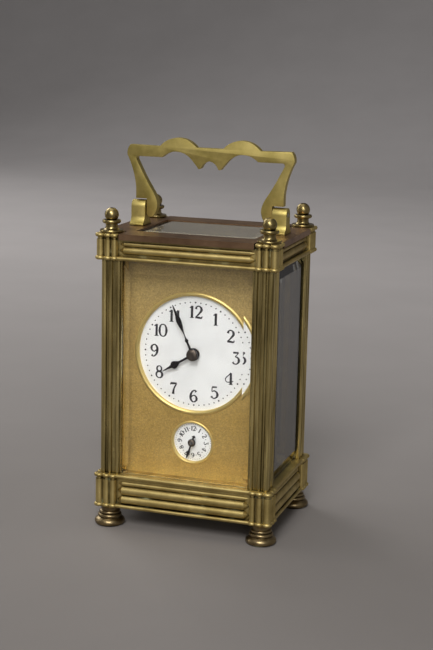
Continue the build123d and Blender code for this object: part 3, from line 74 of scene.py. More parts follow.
# %% [markdown]
# Colours are written as the hex values that a screen shows, and Blender wants linear light, so one
# small function converts them. A second one adds a shader node with its settings and links in one
# line, which keeps every finish below short enough to read. A third one starts a material, and a
# fourth hands a finished material to the solids that wear it.

# %% Colour and node helpers


def linear(hex_colour):
    """An sRGB hex colour as linear RGBA."""
    parts = [int(hex_colour[i : i + 2], 16) / 255 for i in (1, 3, 5)]
    light = [p / 12.92 if p <= 0.04045 else ((p + 0.055) / 1.055) ** 2.4 for p in parts]
    return (*light, 1.0)


def add(tree, kind, settings=None, **links):
    """A shader node: settings holds properties, socket values and a ramp's stops, links what feeds it."""
    node = tree.nodes.new(kind)
    for key, value in (settings or {}).items():
        if key == "stops":
            places = node.color_ramp.elements
            while len(places) < len(value):
                places.new(0.5)
            for place, (position, colour) in zip(places, value):
                place.position, place.color = position, linear(colour)
        elif isinstance(key, int) or key in node.inputs.keys():
            node.inputs[key].default_value = value
        else:
            setattr(node, key, value)
    for key, source in links.items():
        socket = int(key[1:]) if key[1:].isdigit() else key.replace("_", " ")
        tree.links.new(source, node.inputs[socket])
    return node


def new_material(name):
    """An empty node material with its principled shader and object coordinates."""
    material = bpy.data.materials.new(name)
    material.use_nodes = True
    tree = material.node_tree
    shader = tree.nodes["Principled BSDF"]
    place = tree.nodes.new("ShaderNodeTexCoord").outputs["Object"]
    return material, tree, shader, place


def dress(material, *names):
    """Gives solids a finish."""
    for name in names:
        slots = nodes[name].data.materials
        slots.clear()
        slots.append(material)


# %% [markdown]
# Floor and backdrop. The clock stands on grey paper that sweeps up behind it. Light and shade are
# painted into the paper: it is paler in the middle distance, as if lit there, and darker near the
# front and far up, as if in shade, so its tone follows the distance from the dial. It could be done
# with a lamp on the wall, but that lamp would also show in the brass.

# %% Floor and backdrop
floor_size, near_reach, wall_height, sweep_radius = 4.0, 4.0, 2.5, 0.8
bpy.ops.object.select_all(action="DESELECT")
bpy.ops.mesh.primitive_plane_add(size=floor_size, location=(0, 0, 0))
floor = bpy.context.object
floor.name = "studio_floor"
for edge in floor.data.edges:
    edge.select = all(floor.data.vertices[v].co.y > 0 for v in edge.vertices)
for corner in floor.data.vertices:
    corner.select = corner.co.y > 0
    corner.co.y -= 0 if corner.select else near_reach  # the near edge lies far out of sight
for face in floor.data.polygons:
    face.select = False
bpy.ops.object.mode_set(mode="EDIT")
bpy.ops.mesh.select_mode(type="EDGE")
bpy.ops.mesh.extrude_region_move(TRANSFORM_OT_translate={"value": (0, 0, wall_height)})
bpy.ops.object.mode_set(mode="OBJECT")
sweep = floor.modifiers.new("sweep", "BEVEL")
sweep.width, sweep.segments, sweep.limit_method = sweep_radius, 16, "ANGLE"
bpy.ops.object.modifier_apply(modifier=sweep.name)
bpy.ops.object.shade_smooth()
paper, tree, shader, place = new_material("grey_backdrop_paper")
depth = add(tree, "ShaderNodeSeparateXYZ", Vector=place)
far = add(tree, "ShaderNodeMapRange", {"From Min": -0.4, "From Max": 2.0}, Value=depth.outputs["Y"])
# Painted light and shade: the paper is paler in the middle distance and darker near and far up.
painted_light_tones = [(0.0, "#78726e"), (0.17, "#8e8884"), (0.42, "#cbc5c3"), (0.75, "#dcd7d6"), (1.0, "#bcb8b7")]
tint = add(tree, "ShaderNodeValToRGB", {"stops": painted_light_tones}, Fac=far.outputs["Result"])
fibre = add(tree, "ShaderNodeTexNoise", {"Scale": 1 / (60 * MM), "Detail": 4.0}, Vector=place)
blotch = add(tree, "ShaderNodeMapRange", {"To Min": 0.94, "To Max": 1.06}, Value=fibre.outputs["Fac"])
spread = {"operation": "SCALE"}
cloudy = add(tree, "ShaderNodeVectorMath", spread, _0=tint.outputs["Color"], Scale=blotch.outputs["Result"])
tree.links.new(cloudy.outputs["Vector"], shader.inputs["Base Color"])
shader.inputs["Roughness"].default_value = 0.85
floor.data.materials.append(paper)
print("floor faces:", len(floor.data.polygons))

# %% [markdown]
# Light. A clock of polished metal shows what stands round it. A soft lamp high in front lights the
# dial, gives each reed a highlight along its upper side and leaves the right side in shade. It hangs
# right of the middle, because the upper bevel of the front glass would mirror one on the left. A
# narrow upright lamp on the left draws a streak down each upright reed, and weaker lamps overhead, at
# the front right and behind on the left fill in. The room itself is dim, or the shadow under the
# clock would fill with light. The camera, polished metal and glass see it five times as bright: the
# Light Path node tells those rays apart.

# %% Lamps and room


def soft_lamp(name, place, aim, wide, tall, power):
    """An oblong soft box that points at a spot."""
    data = bpy.data.lights.new(name, "AREA")
    data.shape, data.size, data.size_y, data.energy = "RECTANGLE", wide, tall, power
    lamp = bpy.data.objects.new(name, data)
    scene.collection.objects.link(lamp)
    lamp.location = place
    lamp.rotation_euler = (Vector(aim) - Vector(place)).to_track_quat("-Z", "Y").to_euler()


middle = (0, 0, 0.07)
soft_lamp("front_softbox", (0.15, -1.1, 1.05), middle, 0.6, 0.6, 11.8)
soft_lamp("high_softbox", (-0.2, 0.0, 1.3), middle, 1.0, 1.0, 2.7)
soft_lamp("left_strip", (-0.8, -0.04, 0.34), middle, 0.18, 0.6, 0.65)
soft_lamp("right_softbox", (0.5, -1.2, 0.5), middle, 0.7, 0.7, 3.0)
soft_lamp("rear_softbox", (-0.9, 0.65, 0.75), middle, 0.6, 0.6, 4)
world = bpy.data.worlds.new("studio_room")
scene.world = world
world.use_nodes = True
room = world.node_tree.nodes["Background"]
room.inputs["Color"].default_value = linear("#a3a09e")
rays = add(world.node_tree, "ShaderNodeLightPath")
seen = rays.outputs["Is Camera Ray"]
for kind in ("Is Glossy Ray", "Is Transmission Ray"):
    either = {"operation": "MAXIMUM"}
    seen = add(world.node_tree, "ShaderNodeMath", either, _0=seen, _1=rays.outputs[kind]).outputs[0]
strength = {"To Min": 0.1, "To Max": 0.5}
level = add(world.node_tree, "ShaderNodeMapRange", strength, Value=seen)
world.node_tree.links.new(level.outputs["Result"], room.inputs["Strength"])

# %% [markdown]
# Aged brass. The case was cast, reeded and polished, then handled for a century: the crowns of the
# reeds stay yellow, the grooves hold brown dirt and an olive film, and dried polish has turned pale
# green in some corners. The grooves are darkened by a colour that is part dirt and part painted
# shade. It could be painted by hand; here the ambient occlusion node finds narrow grooves, over
# about a millimetre, and a slow noise carries the patina. A fine noise roughens the polish, so
# highlights spread softly. The corner pillars were drawn through a die and shine more.
# Their patina runs in upright streaks, so the noise is stretched along them. Finials and feet were
# turned, and the feet have gone brown.

# %% Aged brass for the case


def aged_metal(name, bright, worn, dirt_and_shade, rough, groove_mm, cloud_mm, drawn=1.0):
    """Polished metal with cloudy patina, and grooves darkened by dirt and painted shade. Drawn under 1
    stretches the clouds upright.
    """
    material, tree, shader, place = new_material(name)
    streak = add(tree, "ShaderNodeMapping", {"Scale": (1, 1, drawn)}, Vector=place).outputs["Vector"]
    cloud_size = {"Scale": 1 / (cloud_mm * MM), "Detail": 6.0, "Roughness": 0.62}
    cloud = add(tree, "ShaderNodeTexNoise", cloud_size, Vector=streak)
    patina = {"stops": [(0.34, worn), (0.66, bright)]}
    film = add(tree, "ShaderNodeValToRGB", patina, Fac=cloud.outputs["Fac"])
    # Dirt and painted shade: ambient occlusion darkens narrow grooves towards the dark groove colour.
    groove = add(tree, "ShaderNodeAmbientOcclusion", {"Distance": groove_mm * MM, "samples": 6})
    unoccluded = add(tree, "ShaderNodeMapRange", {"From Min": 0.25, "From Max": 0.85}, Value=groove.outputs["AO"])
    mix = {"data_type": "RGBA", 6: linear(dirt_and_shade)}
    grooves_darkened = add(tree, "ShaderNodeMix", mix, _0=unoccluded.outputs["Result"], _7=film.outputs["Color"])
    patches = add(tree, "ShaderNodeTexNoise", {"Scale": 1 / (5 * MM), "Detail": 4.0}, Vector=streak)
    patch_range = {"From Min": 0.52, "From Max": 0.78}
    patch = add(tree, "ShaderNodeMapRange", patch_range, Value=patches.outputs["Fac"])
    deep_range = {"From Min": 0.4, "From Max": 0.8, "To Min": 1.0, "To Max": 0.0}
    deep = add(tree, "ShaderNodeMapRange", deep_range, Value=groove.outputs["AO"])
    both = {"operation": "MULTIPLY"}
    chalk = add(tree, "ShaderNodeMath", both, _0=patch.outputs["Result"], _1=deep.outputs["Result"])
    pale = {"data_type": "RGBA", 7: linear("#b4b58e")}
    colour = add(tree, "ShaderNodeMix", pale, _0=chalk.outputs[0], _6=grooves_darkened.outputs[2])
    tree.links.new(colour.outputs[2], shader.inputs["Base Color"])
    metal = add(tree, "ShaderNodeMath", {"operation": "SUBTRACT", 0: 1.0}, _1=chalk.outputs[0])
    tree.links.new(metal.outputs[0], shader.inputs["Metallic"])
    speck = add(tree, "ShaderNodeTexNoise", {"Scale": 1 / (1.1 * MM), "Detail": 3.0}, Vector=streak)
    gloss_range = {"To Min": rough - 0.08, "To Max": rough + 0.12}
    gloss = add(tree, "ShaderNodeMapRange", gloss_range, Value=speck.outputs["Fac"])
    tree.links.new(gloss.outputs["Result"], shader.inputs["Roughness"])
    pits = add(tree, "ShaderNodeBump", {"Strength": 0.15, "Distance": 0.05 * MM}, Height=speck.outputs["Fac"])
    tree.links.new(pits.outputs["Normal"], shader.inputs["Normal"])
    return material


case_brass = aged_metal("aged_cast_brass", "#d4bf80", "#ad985e", "#332915", 0.48, 1.5, 9.0)
dress(case_brass, "base_frame", "cornice_frame", "door_frame", "door_pins")
pillar_brass = aged_metal("aged_drawn_brass", "#ead592", "#85774a", "#2b2210", 0.22, 1.6, 2.2, 0.06)
dress(
    pillar_brass, "pillar_front_left", "pillar_front_right", "pillar_rear_left", "pillar_rear_right",
)
turned_brass = aged_metal("polished_turned_brass", "#b3a06c", "#84744a", "#332a14", 0.28, 1.0, 5.0)
dress(turned_brass, "finials", "door_knob")
foot_brass = aged_metal("browned_turned_brass", "#a6926a", "#75654a", "#2a2115", 0.32, 1.2, 6.0)
dress(foot_brass, "feet")
print("dressed in", case_brass.name, pillar_brass.name, turned_brass.name, foot_brass.name)

# %% [markdown]
# The top plate is sheet brass that has gone brown: a flat face which dust and damp reach first.
# It could have a recipe of its own, but the case's one with browner colours, a duller surface and
# broader clouds gives the same look.

# %% Browned top plate
top_brass = aged_metal("browned_sheet_brass", "#a08164", "#745a45", "#38271a", 0.42, 1.2, 14.0)
dress(top_brass, "top_plate")
print("dressed in", top_brass.name)

# %% [markdown]
# Plate glass. The front pane is clean and nearly colourless. The others are seldom wiped inside, so
# oil has greyed them a little, and dust lies on the top one. Dust scatters light, so that pane lets
# less of it straight through. The right pane is greyed most, which is painted shade: that side of
# the clock stands in shade. Traced glass throws a black shadow without slow caustics, so the shader
# lets shadow rays pass, or the dial behind it would stand in the dark.

# %% Bevelled plate glass


def plate_glass(name, tint, shade, clearness):
    """Polished glass: tint is what a look through it takes on, shade what light through it takes on."""
    material, tree, shader, place = new_material(name)
    shader.inputs["Base Color"].default_value = linear(tint)
    shader.inputs["IOR"].default_value = 1.5
    shader.inputs["Transmission Weight"].default_value = clearness
    smear = add(tree, "ShaderNodeTexNoise", {"Scale": 1 / (18 * MM), "Detail": 5.0}, Vector=place)
    haze = add(tree, "ShaderNodeMapRange", {"To Min": 0.0, "To Max": 0.05}, Value=smear.outputs["Fac"])
    tree.links.new(haze.outputs["Result"], shader.inputs["Roughness"])
    clear = add(tree, "ShaderNodeBsdfTransparent", {"Color": linear(shade)})
    rays = add(tree, "ShaderNodeLightPath")
    through = add(
        tree, "ShaderNodeMixShader", None, _0=rays.outputs["Is Shadow Ray"],
        _1=shader.outputs["BSDF"], _2=clear.outputs["BSDF"],
    )
    tree.links.new(through.outputs["Shader"], tree.nodes["Material Output"].inputs["Surface"])
    return material


clear_pane = plate_glass("wiped_bevelled_plate_glass", "#e0e3e0", "#e4e7e4", 1.0)
front_pane = plate_glass("clean_bevelled_plate_glass", "#fbfbfb", "#f6f6f6", 1.0)
dusty_pane = plate_glass("dusty_bevelled_plate_glass", "#cbc4b7", "#dcdfdc", 0.75)
# Painted shade: the right pane's darker grey stands for the shade on that side of the clock.
shaded_grey_pane = plate_glass("shade_greyed_bevelled_plate_glass", "#a4a8a4", "#c4c7c4", 1.0)
dress(front_pane, "front_glass")
dress(dusty_pane, "top_glass")
dress(shaded_grey_pane, "right_glass")
dress(clear_pane, "left_glass", "door_glass")
print("panes:", [p.name for p in (front_pane, dusty_pane, shaded_grey_pane, clear_pane)])

# %% [markdown]
# The dial mask is brass, matted with a fine punch and gilt, so it glitters softly in grains. The
# beads round both openings were left smooth, and are a paler gold. They could be pieces of their own,
# but they belong to the same sheet, so distance from each dial's middle, in the mask's own plane,
# tells the shader where they are. Real punch marks are about 0.2 mm apart, which is
# too fine to show, so the grains are drawn at half a millimetre. Towards the top, under the cornice,
# the gold turns greyer: that is painted shade.

# %% Frosted gilt mask with bright beads
dial_z, alarm_z = 70.4, 34.7
dial_bead, alarm_bead = 24.5, 8.8  # outer radius of each bead
gilt, tree, shader, place = new_material("matted_gilt_brass")
grit = add(tree, "ShaderNodeTexVoronoi", {"Scale": 1 / (0.5 * MM)}, Vector=place)
wash = add(tree, "ShaderNodeTexNoise", {"Scale": 1 / (16 * MM), "Detail": 3.0}, Vector=place)
gilding = {"stops": [(0.3, "#bd9b4d"), (0.7, "#d0ad5e")]}
fresh = add(tree, "ShaderNodeValToRGB", gilding, Fac=wash.outputs["Fac"])
rise = add(tree, "ShaderNodeSeparateXYZ", Vector=place)
# Painted shade: towards the top, under the cornice, the gold turns greyer.
high_up = {"From Min": 0.045, "From Max": 0.105, "To Max": 0.75}
cornice_shade = add(tree, "ShaderNodeMapRange", high_up, Value=rise.outputs["Z"])
shade_grey_gold = {"data_type": "RGBA", 7: linear("#cab278")}
gold = add(tree, "ShaderNodeMix", shade_grey_gold, _0=cornice_shade.outputs["Result"], _6=fresh.outputs["Color"])
shine = {"stops": [(0.0, "#b4b4b4"), (1.0, "#ffffff")]}
sparkle = add(tree, "ShaderNodeValToRGB", shine, Fac=grit.outputs["Color"])
blend = {"data_type": "RGBA", "blend_type": "MULTIPLY", 0: 0.7}
mottled = add(tree, "ShaderNodeMix", blend, _6=gold.outputs[2], _7=sparkle.outputs["Color"])
rings = []
for z, outer in ((dial_z, dial_bead), (alarm_z, alarm_bead)):
    centre = {"operation": "MULTIPLY_ADD", 1: (1, 0, 1), 2: (0, 0, -z * MM)}
    flat = add(tree, "ShaderNodeVectorMath", centre, _0=place)
    reach = add(tree, "ShaderNodeVectorMath", {"operation": "LENGTH"}, _0=flat.outputs["Vector"])
    inside = {"operation": "LESS_THAN", 1: outer * MM}
    rings.append(add(tree, "ShaderNodeMath", inside, _0=reach.outputs["Value"]).outputs[0])
bead = add(tree, "ShaderNodeMath", {"operation": "MAXIMUM"}, _0=rings[0], _1=rings[1]).outputs[0]
bright_gilt = {"data_type": "RGBA", 7: linear("#dcc379")}
colour = add(tree, "ShaderNodeMix", bright_gilt, _0=bead, _6=mottled.outputs[2])
tree.links.new(colour.outputs[2], shader.inputs["Base Color"])
metal = add(tree, "ShaderNodeMapRange", {"To Min": 0.6, "To Max": 0.8}, Value=bead)
tree.links.new(metal.outputs["Result"], shader.inputs["Metallic"])
dull = add(tree, "ShaderNodeMapRange", {"To Min": 0.55, "To Max": 0.38}, Value=bead)
tree.links.new(dull.outputs["Result"], shader.inputs["Roughness"])
height = add(tree, "ShaderNodeMapRange", {"To Min": 0.5, "To Max": 0.0}, Value=bead)
matting = add(
    tree, "ShaderNodeBump", {"Distance": 0.1 * MM},
    Height=grit.outputs["Distance"], Strength=height.outputs["Result"],
)
tree.links.new(matting.outputs["Normal"], shader.inputs["Normal"])
dress(gilt, "dial_mask")
print("dressed in", gilt.name)

# %% [markdown]
# Vitreous enamel on copper: a cool white glass coat, glossy, with the faintest cloud in it. One flat
# white would do from afar, but the slow noise keeps the large dial from looking like paper.

# %% White enamel
enamel, tree, shader, place = new_material("white_vitreous_enamel")
cloud = add(tree, "ShaderNodeTexNoise", {"Scale": 1 / (12 * MM), "Detail": 2.0}, Vector=place)
milk = {"stops": [(0.35, "#e6e7e5"), (0.65, "#eeefed")]}
tone = add(tree, "ShaderNodeValToRGB", milk, Fac=cloud.outputs["Fac"])
tree.links.new(tone.outputs["Color"], shader.inputs["Base Color"])
shader.inputs["Roughness"].default_value = 0.18
dress(enamel, "main_dial", "alarm_dial")
print("dressed in", enamel.name)

# %% [markdown]
# Steel and movement brass. The hands are steel blued nearly black by heat, and the collets on them
# have worn brown. Arbors and the ratchet are plain polished steel. Plates and wheels are brass grained
# along one direction, cleaner than the case because the glass kept fingers off it. One function makes
# them all, because only colour, gloss and grain differ. Real grain is about a tenth of a millimetre,
# too fine to show, so it is drawn several times coarser.

# %% Blued steel, polished steel, grained brass


def grained_metal(name, dark, light, rough, grain_mm):
    """Metal with a fine straight grain."""
    material, tree, shader, place = new_material(name)
    stretch = add(tree, "ShaderNodeMapping", {"Scale": (1, 1, 0.02)}, Vector=place)
    size = {"Scale": 1 / (grain_mm * MM), "Detail": 4.0}
    grain = add(tree, "ShaderNodeTexNoise", size, Vector=stretch.outputs["Vector"])
    streaks = {"stops": [(0.3, dark), (0.7, light)]}
    tone = add(tree, "ShaderNodeValToRGB", streaks, Fac=grain.outputs["Fac"])
    tree.links.new(tone.outputs["Color"], shader.inputs["Base Color"])
    shader.inputs["Metallic"].default_value = 1.0
    spread = {"To Min": rough - 0.05, "To Max": rough + 0.1}
    gloss = add(tree, "ShaderNodeMapRange", spread, Value=grain.outputs["Fac"])
    tree.links.new(gloss.outputs["Result"], shader.inputs["Roughness"])
    return material


blued = grained_metal("heat_blued_steel", "#1c1a1f", "#2f2b31", 0.3, 0.8)
steel = grained_metal("polished_carbon_steel", "#8f8f8d", "#b4b3b0", 0.22, 0.6)
plate_brass = grained_metal("grained_movement_brass", "#c4a356", "#d6b76e", 0.3, 0.5)
bell_brass = grained_metal("turned_bell_brass", "#8f7440", "#b59a5c", 0.25, 1.0)
collet_steel = grained_metal("browned_turned_steel", "#453d36", "#665c52", 0.38, 0.5)
dress(blued, "hour_hand", "minute_hand", "alarm_hand")
dress(
    steel, "handle_pins", "going_winding_arbor", "going_ratchet", "going_click", "centre_arbor",
    "third_arbor", "contrate_arbor", "cannon_pinion", "alarm_winding_arbor", "alarm_hammer",
    "alarm_shaft", "lever", "regulator",
)
dress(
    plate_brass, "front_plate", "back_plate", "plate_pillars", "going_barrel", "centre_wheel",
    "third_wheel", "contrate_wheel", "minute_wheel", "hour_wheel", "alarm_barrel",
    "alarm_escape_wheel", "platform", "escape_wheel", "balance", "balance_cock",
)
dress(bell_brass, "bell")
print("materials:", sorted(m.name for m in bpy.data.materials))

# %% [markdown]
# The bail handle and its brackets were sawn from plate, then filed round along every edge. A copy
# of each solid has its loose triangles merged, its flat faces dissolved back to single faces, and a
# Bevel modifier rounds the sharp edges. A subdivision surface would shrink the whole shape instead.

# %% Rounded handle and brackets


def rounded_copy(name, body, width_mm, material):
    """A copy of a solid with its sharp edges filed round, shown in the solid's place."""
    piece = bpy.data.objects.new(name + "_filed", nodes[name].data.copy())
    scene.collection.objects.link(piece)
    bpy.ops.object.select_all(action="DESELECT")
    piece.select_set(True)
    bpy.context.view_layer.objects.active = piece
    bpy.ops.object.mode_set(mode="EDIT")
    bpy.ops.mesh.select_all(action="SELECT")
    bpy.ops.mesh.remove_doubles(threshold=0.002 * MM)
    bpy.ops.mesh.dissolve_limited(angle_limit=radians(0.3))
    bpy.ops.object.mode_set(mode="OBJECT")
    filed = piece.modifiers.new("filed_edge", "BEVEL")
    filed.width, filed.segments = width_mm * MM, 3
    filed.limit_method, filed.angle_limit = "ANGLE", radians(40)
    bpy.ops.object.modifier_apply(modifier=filed.name)
    bpy.ops.object.shade_smooth_by_angle(angle=radians(30))
    piece.data.materials.clear()
    piece.data.materials.append(material)
    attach(piece, body)
    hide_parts(name)
    return piece


filed_edge_mm = 0.35
handle_brass = aged_metal("rubbed_handle_brass", "#d0bd76", "#b1a05a", "#514320", 0.48, 0.8, 7.0)
carriers = {"handle": "handle_body", "handle_bracket_left": "case", "handle_bracket_right": "case"}
for name, body in carriers.items():
    piece = rounded_copy(name, body, filed_edge_mm, handle_brass)
    print(piece.name, "faces:", len(piece.data.polygons))

# %% [markdown]
# The numbers on the main dial are upright old-style figures with thick and thin strokes, painted by
# hand and fired. A font could write them, but a clock's own figures are drawn here as a pen draws
# them: each stroke is a curve through a few points, and the radius at each point is half the pen's
# width there. The figures are one unit tall, and each stroke is a list of x, y and half width.

# %% Pen strokes of the figures
FIGURES = {
    "0": [[(0, 1, 0.03), (-0.3, 0.5, 0.08), (0, 0, 0.03), (0.3, 0.5, 0.08)]],
    "1": [
        [(0, 0.02, 0.075), (0, 0.98, 0.075)],
        [(0, 0.96, 0.035), (-0.2, 0.8, 0.03)],
        [(-0.18, 0.015, 0.022), (0.18, 0.015, 0.022)],
    ],
    "2": [
        [(-0.23, 0.74, 0.08), (-0.17, 0.92, 0.045), (0.02, 0.99, 0.035), (0.24, 0.74, 0.08),
         (0.06, 0.4, 0.055), (-0.27, 0.06, 0.03)],
        [(-0.27, 0.05, 0.05), (0, 0.06, 0.07), (0.26, 0.06, 0.05), (0.3, 0.2, 0.02)],
    ],
    "3": [
        [(-0.22, 0.93, 0.06), (0.24, 0.95, 0.05)],
        [(0.24, 0.95, 0.03), (-0.05, 0.6, 0.028)],
        [(-0.05, 0.6, 0.03), (0.14, 0.56, 0.05), (0.27, 0.3, 0.08), (0.1, 0.03, 0.04),
         (-0.12, 0.02, 0.035), (-0.25, 0.16, 0.075)],
    ],
    "4": [
        [(0.1, 1, 0.035), (-0.32, 0.29, 0.03), (0.32, 0.29, 0.03)],
        [(0.1, 0.98, 0.07), (0.1, 0.02, 0.08)],
        [(-0.07, 0.015, 0.022), (0.27, 0.015, 0.022)],
    ],
    "5": [
        [(-0.18, 0.94, 0.055), (0.22, 0.97, 0.05)],
        [(-0.18, 0.94, 0.03), (-0.21, 0.56, 0.028)],
        [(-0.21, 0.55, 0.03), (0.02, 0.63, 0.04), (0.27, 0.33, 0.08), (0.06, 0.02, 0.04),
         (-0.14, 0.03, 0.04), (-0.25, 0.17, 0.075)],
    ],
    "6": [
        [(0.21, 0.86, 0.075), (0.1, 0.98, 0.035), (-0.12, 0.87, 0.05), (-0.28, 0.42, 0.08),
         (-0.2, 0.1, 0.06), (0, 0, 0.035), (0.24, 0.28, 0.075), (0.02, 0.56, 0.035), (-0.22, 0.4, 0.03)],
    ],
    "7": [
        [(-0.26, 0.92, 0.065), (0.26, 0.94, 0.06)],
        [(-0.27, 0.78, 0.025), (-0.26, 0.93, 0.04)],
        [(0.26, 0.94, 0.035), (0.03, 0.5, 0.05), (-0.06, 0.02, 0.085)],
    ],
    "8": [
        [(0, 1, 0.03), (-0.2, 0.77, 0.06), (0, 0.54, 0.06), (0.2, 0.77, 0.05)],
        [(0, 0.54, 0.055), (-0.26, 0.26, 0.06), (0, 0, 0.03), (0.26, 0.26, 0.08)],
    ],
}
FIGURES["9"] = [[(-x, 1 - y, wide) for x, y, wide in stroke] for stroke in FIGURES["6"]]
CLOSED = "08"
FIGURE_PITCH = 0.56  # from one figure of a number to the next
print("figures drawn:", "".join(sorted(FIGURES)))

# %% [markdown]
# The paint lies flat on a domed dial. The pen curves become a mesh, the half of every stroke that
# faces the dial is cut away, and a Shrinkwrap modifier presses what is left onto the enamel, a
# fiftieth of a millimetre proud of it. The alarm dial's little figures stand along its radius.

# %% Paint for the dials
ink, tree, shader, place = new_material("fired_black_dial_paint")
wear = add(tree, "ShaderNodeTexNoise", {"Scale": 1 / (0.8 * MM), "Detail": 3.0}, Vector=place)
black = {"stops": [(0.3, "#15151a"), (0.8, "#2b2b31")]}
tone = add(tree, "ShaderNodeValToRGB", black, Fac=wear.outputs["Fac"])
tree.links.new(tone.outputs["Color"], shader.inputs["Base Color"])
shader.inputs["Roughness"].default_value = 0.3
PAINT_Y = -15.0


def press_on(piece, dial):
    """Presses flat paint onto a dial and lets it ride with the case."""
    press = piece.modifiers.new("press", "SHRINKWRAP")
    press.target, press.wrap_method, press.offset = nodes[dial], "PROJECT", 0.02 * MM
    press.use_project_y = press.use_positive_direction = True
    bpy.ops.object.modifier_apply(modifier=press.name)
    piece.data.materials.append(ink)
    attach(piece, "case")
    print(piece.name, "faces:", len(piece.data.polygons))


def paint_figures(name, dial, z, circle, tall, broad, upright):
    """The twelve numbers of a dial, on a circle round (0, z). Broad multiplies the pen's width."""
    pen = bpy.data.curves.new(name, "CURVE")
    pen.dimensions, pen.bevel_depth, pen.bevel_resolution, pen.resolution_u = "3D", broad, 2, 8
    for hour in range(1, 13):
        angle = radians(30 * hour)
        tilt = 0 if upright else angle
        text = str(hour)
        for order, figure in enumerate(text):
            shift = FIGURE_PITCH * (order - (len(text) - 1) / 2)
            for stroke in FIGURES[figure]:
                line = pen.splines.new("BEZIER")
                line.bezier_points.add(len(stroke) - 1)
                line.use_cyclic_u = figure in CLOSED
                for knot, (x, y, wide) in zip(line.bezier_points, stroke):
                    across, high = tall * (x + shift), tall * (y - 0.5)
                    at_x = circle * sin(angle) + across * cos(tilt) + high * sin(tilt)
                    at_z = circle * cos(angle) - across * sin(tilt) + high * cos(tilt)
                    knot.co = (at_x * MM, PAINT_Y * MM, (z + at_z) * MM)
                    knot.radius = wide * tall * MM
                    knot.handle_left_type = knot.handle_right_type = "AUTO"
    piece = bpy.data.objects.new(name, pen)
    scene.collection.objects.link(piece)
    bpy.ops.object.select_all(action="DESELECT")
    piece.select_set(True)
    bpy.context.view_layer.objects.active = piece
    bpy.ops.object.convert(target="MESH")
    bpy.ops.object.mode_set(mode="EDIT")
    bpy.ops.mesh.select_all(action="SELECT")
    bpy.ops.mesh.bisect(plane_co=(0, PAINT_Y * MM, 0), plane_no=(0, 1, 0), clear_outer=True)
    bpy.ops.object.mode_set(mode="OBJECT")
    press_on(bpy.context.object, dial)


paint_z = dial_z - 0.25  # the painter's centre lies a little low
paint_figures("main_dial_figures", "main_dial", paint_z, 16.8, 4.8, 1.35, True)
paint_figures("alarm_dial_figures", "alarm_dial", alarm_z, 5.5, 1.8, 1.8, False)

# %% [markdown]
# Sixty minute dots ring the main dial, every fifth one larger. One filled circle is drawn, and Spin
# with its duplicate setting repeats it round the middle. The alarm dial has a finer ring and a dot
# between each two figures.

# %% Dots of the dials


def ring_of_dots(z, circle, count, size, first=0.0):
    """Adds dots on a circle round (0, z) to the mesh being edited."""
    at = (circle * sin(first) * MM, PAINT_Y * MM, (z + circle * cos(first)) * MM)
    bpy.ops.mesh.select_all(action="DESELECT")
    bpy.ops.mesh.primitive_circle_add(
        vertices=12, radius=size * MM, fill_type="TRIFAN", location=at, rotation=(pi / 2, 0, 0)
    )
    whole = 2 * pi * (count - 1) / count
    bpy.ops.mesh.spin(dupli=True, steps=count - 1, angle=whole, center=(0, 0, z * MM), axis=(0, 1, 0))


def dotted_dial(name, dial, z, rings):
    """A dial's dots as one piece."""
    bpy.ops.object.select_all(action="DESELECT")
    piece = bpy.data.objects.new(name, bpy.data.meshes.new(name))
    scene.collection.objects.link(piece)
    piece.select_set(True)
    bpy.context.view_layer.objects.active = piece
    bpy.ops.object.mode_set(mode="EDIT")
    for ring in rings:
        ring_of_dots(z, *ring)
    bpy.ops.object.mode_set(mode="OBJECT")
    press_on(piece, dial)


dotted_dial("main_dial_dots", "main_dial", paint_z, [(20.5, 60, 0.27), (20.5, 12, 0.36)])
half_hour = radians(15)
dotted_dial("alarm_dial_dots", "alarm_dial", alarm_z, [(7.2, 48, 0.15), (5.5, 12, 0.2, half_hour)])

# %% [markdown]
# The minute hand and the alarm hand are each held by a small domed collet. It could be spun from a
# drawn profile. Here a filled circle is extruded, drawn in and extruded again, as a turner steps in
# towards the middle, and smooth shading softens the low steps.

# %% Hand collets


def hand_collet(name, body, z, back_mm, steps):
    """A stepped turned cap: steps are (radius, height) pairs, from its seat outwards to its tip."""
    bpy.ops.object.select_all(action="DESELECT")
    place = (0, back_mm * MM, z * MM)
    bpy.ops.mesh.primitive_circle_add(
        vertices=40, radius=steps[0][0] * MM, fill_type="NGON", location=place, rotation=(pi / 2, 0, 0)
    )
    piece = bpy.context.object
    piece.name = name
    bpy.ops.object.transform_apply(location=True, rotation=True, scale=True)
    bpy.ops.object.mode_set(mode="EDIT")
    bpy.ops.mesh.select_all(action="SELECT")
    reach, depth = steps[0][0], back_mm
    for radius, height in steps:
        shrink = radius / reach
        forward = (0, (back_mm - height - depth) * MM, 0)
        bpy.ops.mesh.extrude_region_move(TRANSFORM_OT_translate={"value": forward})
        bpy.ops.transform.resize(value=(shrink, 1, shrink), center_override=(0, 0, z * MM))
        reach, depth = radius, back_mm - height
    bpy.ops.mesh.select_all(action="SELECT")
    bpy.ops.mesh.normals_make_consistent(inside=False)
    bpy.ops.object.mode_set(mode="OBJECT")
    bpy.ops.object.shade_smooth_by_angle(angle=radians(50))
    piece.data.materials.append(collet_steel)
    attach(piece, body)
    print(name, "faces:", len(piece.data.polygons))


minute_steps = [(2.2, 0.1), (1.9, 0.35), (1.3, 0.5), (1.0, 0.55)]
alarm_steps = [(1.4, 0.1), (1.2, 0.3), (0.8, 0.42), (0.6, 0.45)]
hand_collet("minute_hand_collet", "minute_hand_body", dial_z, -17.5, minute_steps)
hand_collet("alarm_hand_collet", "alarm_hand_body", alarm_z, -15.9, alarm_steps)

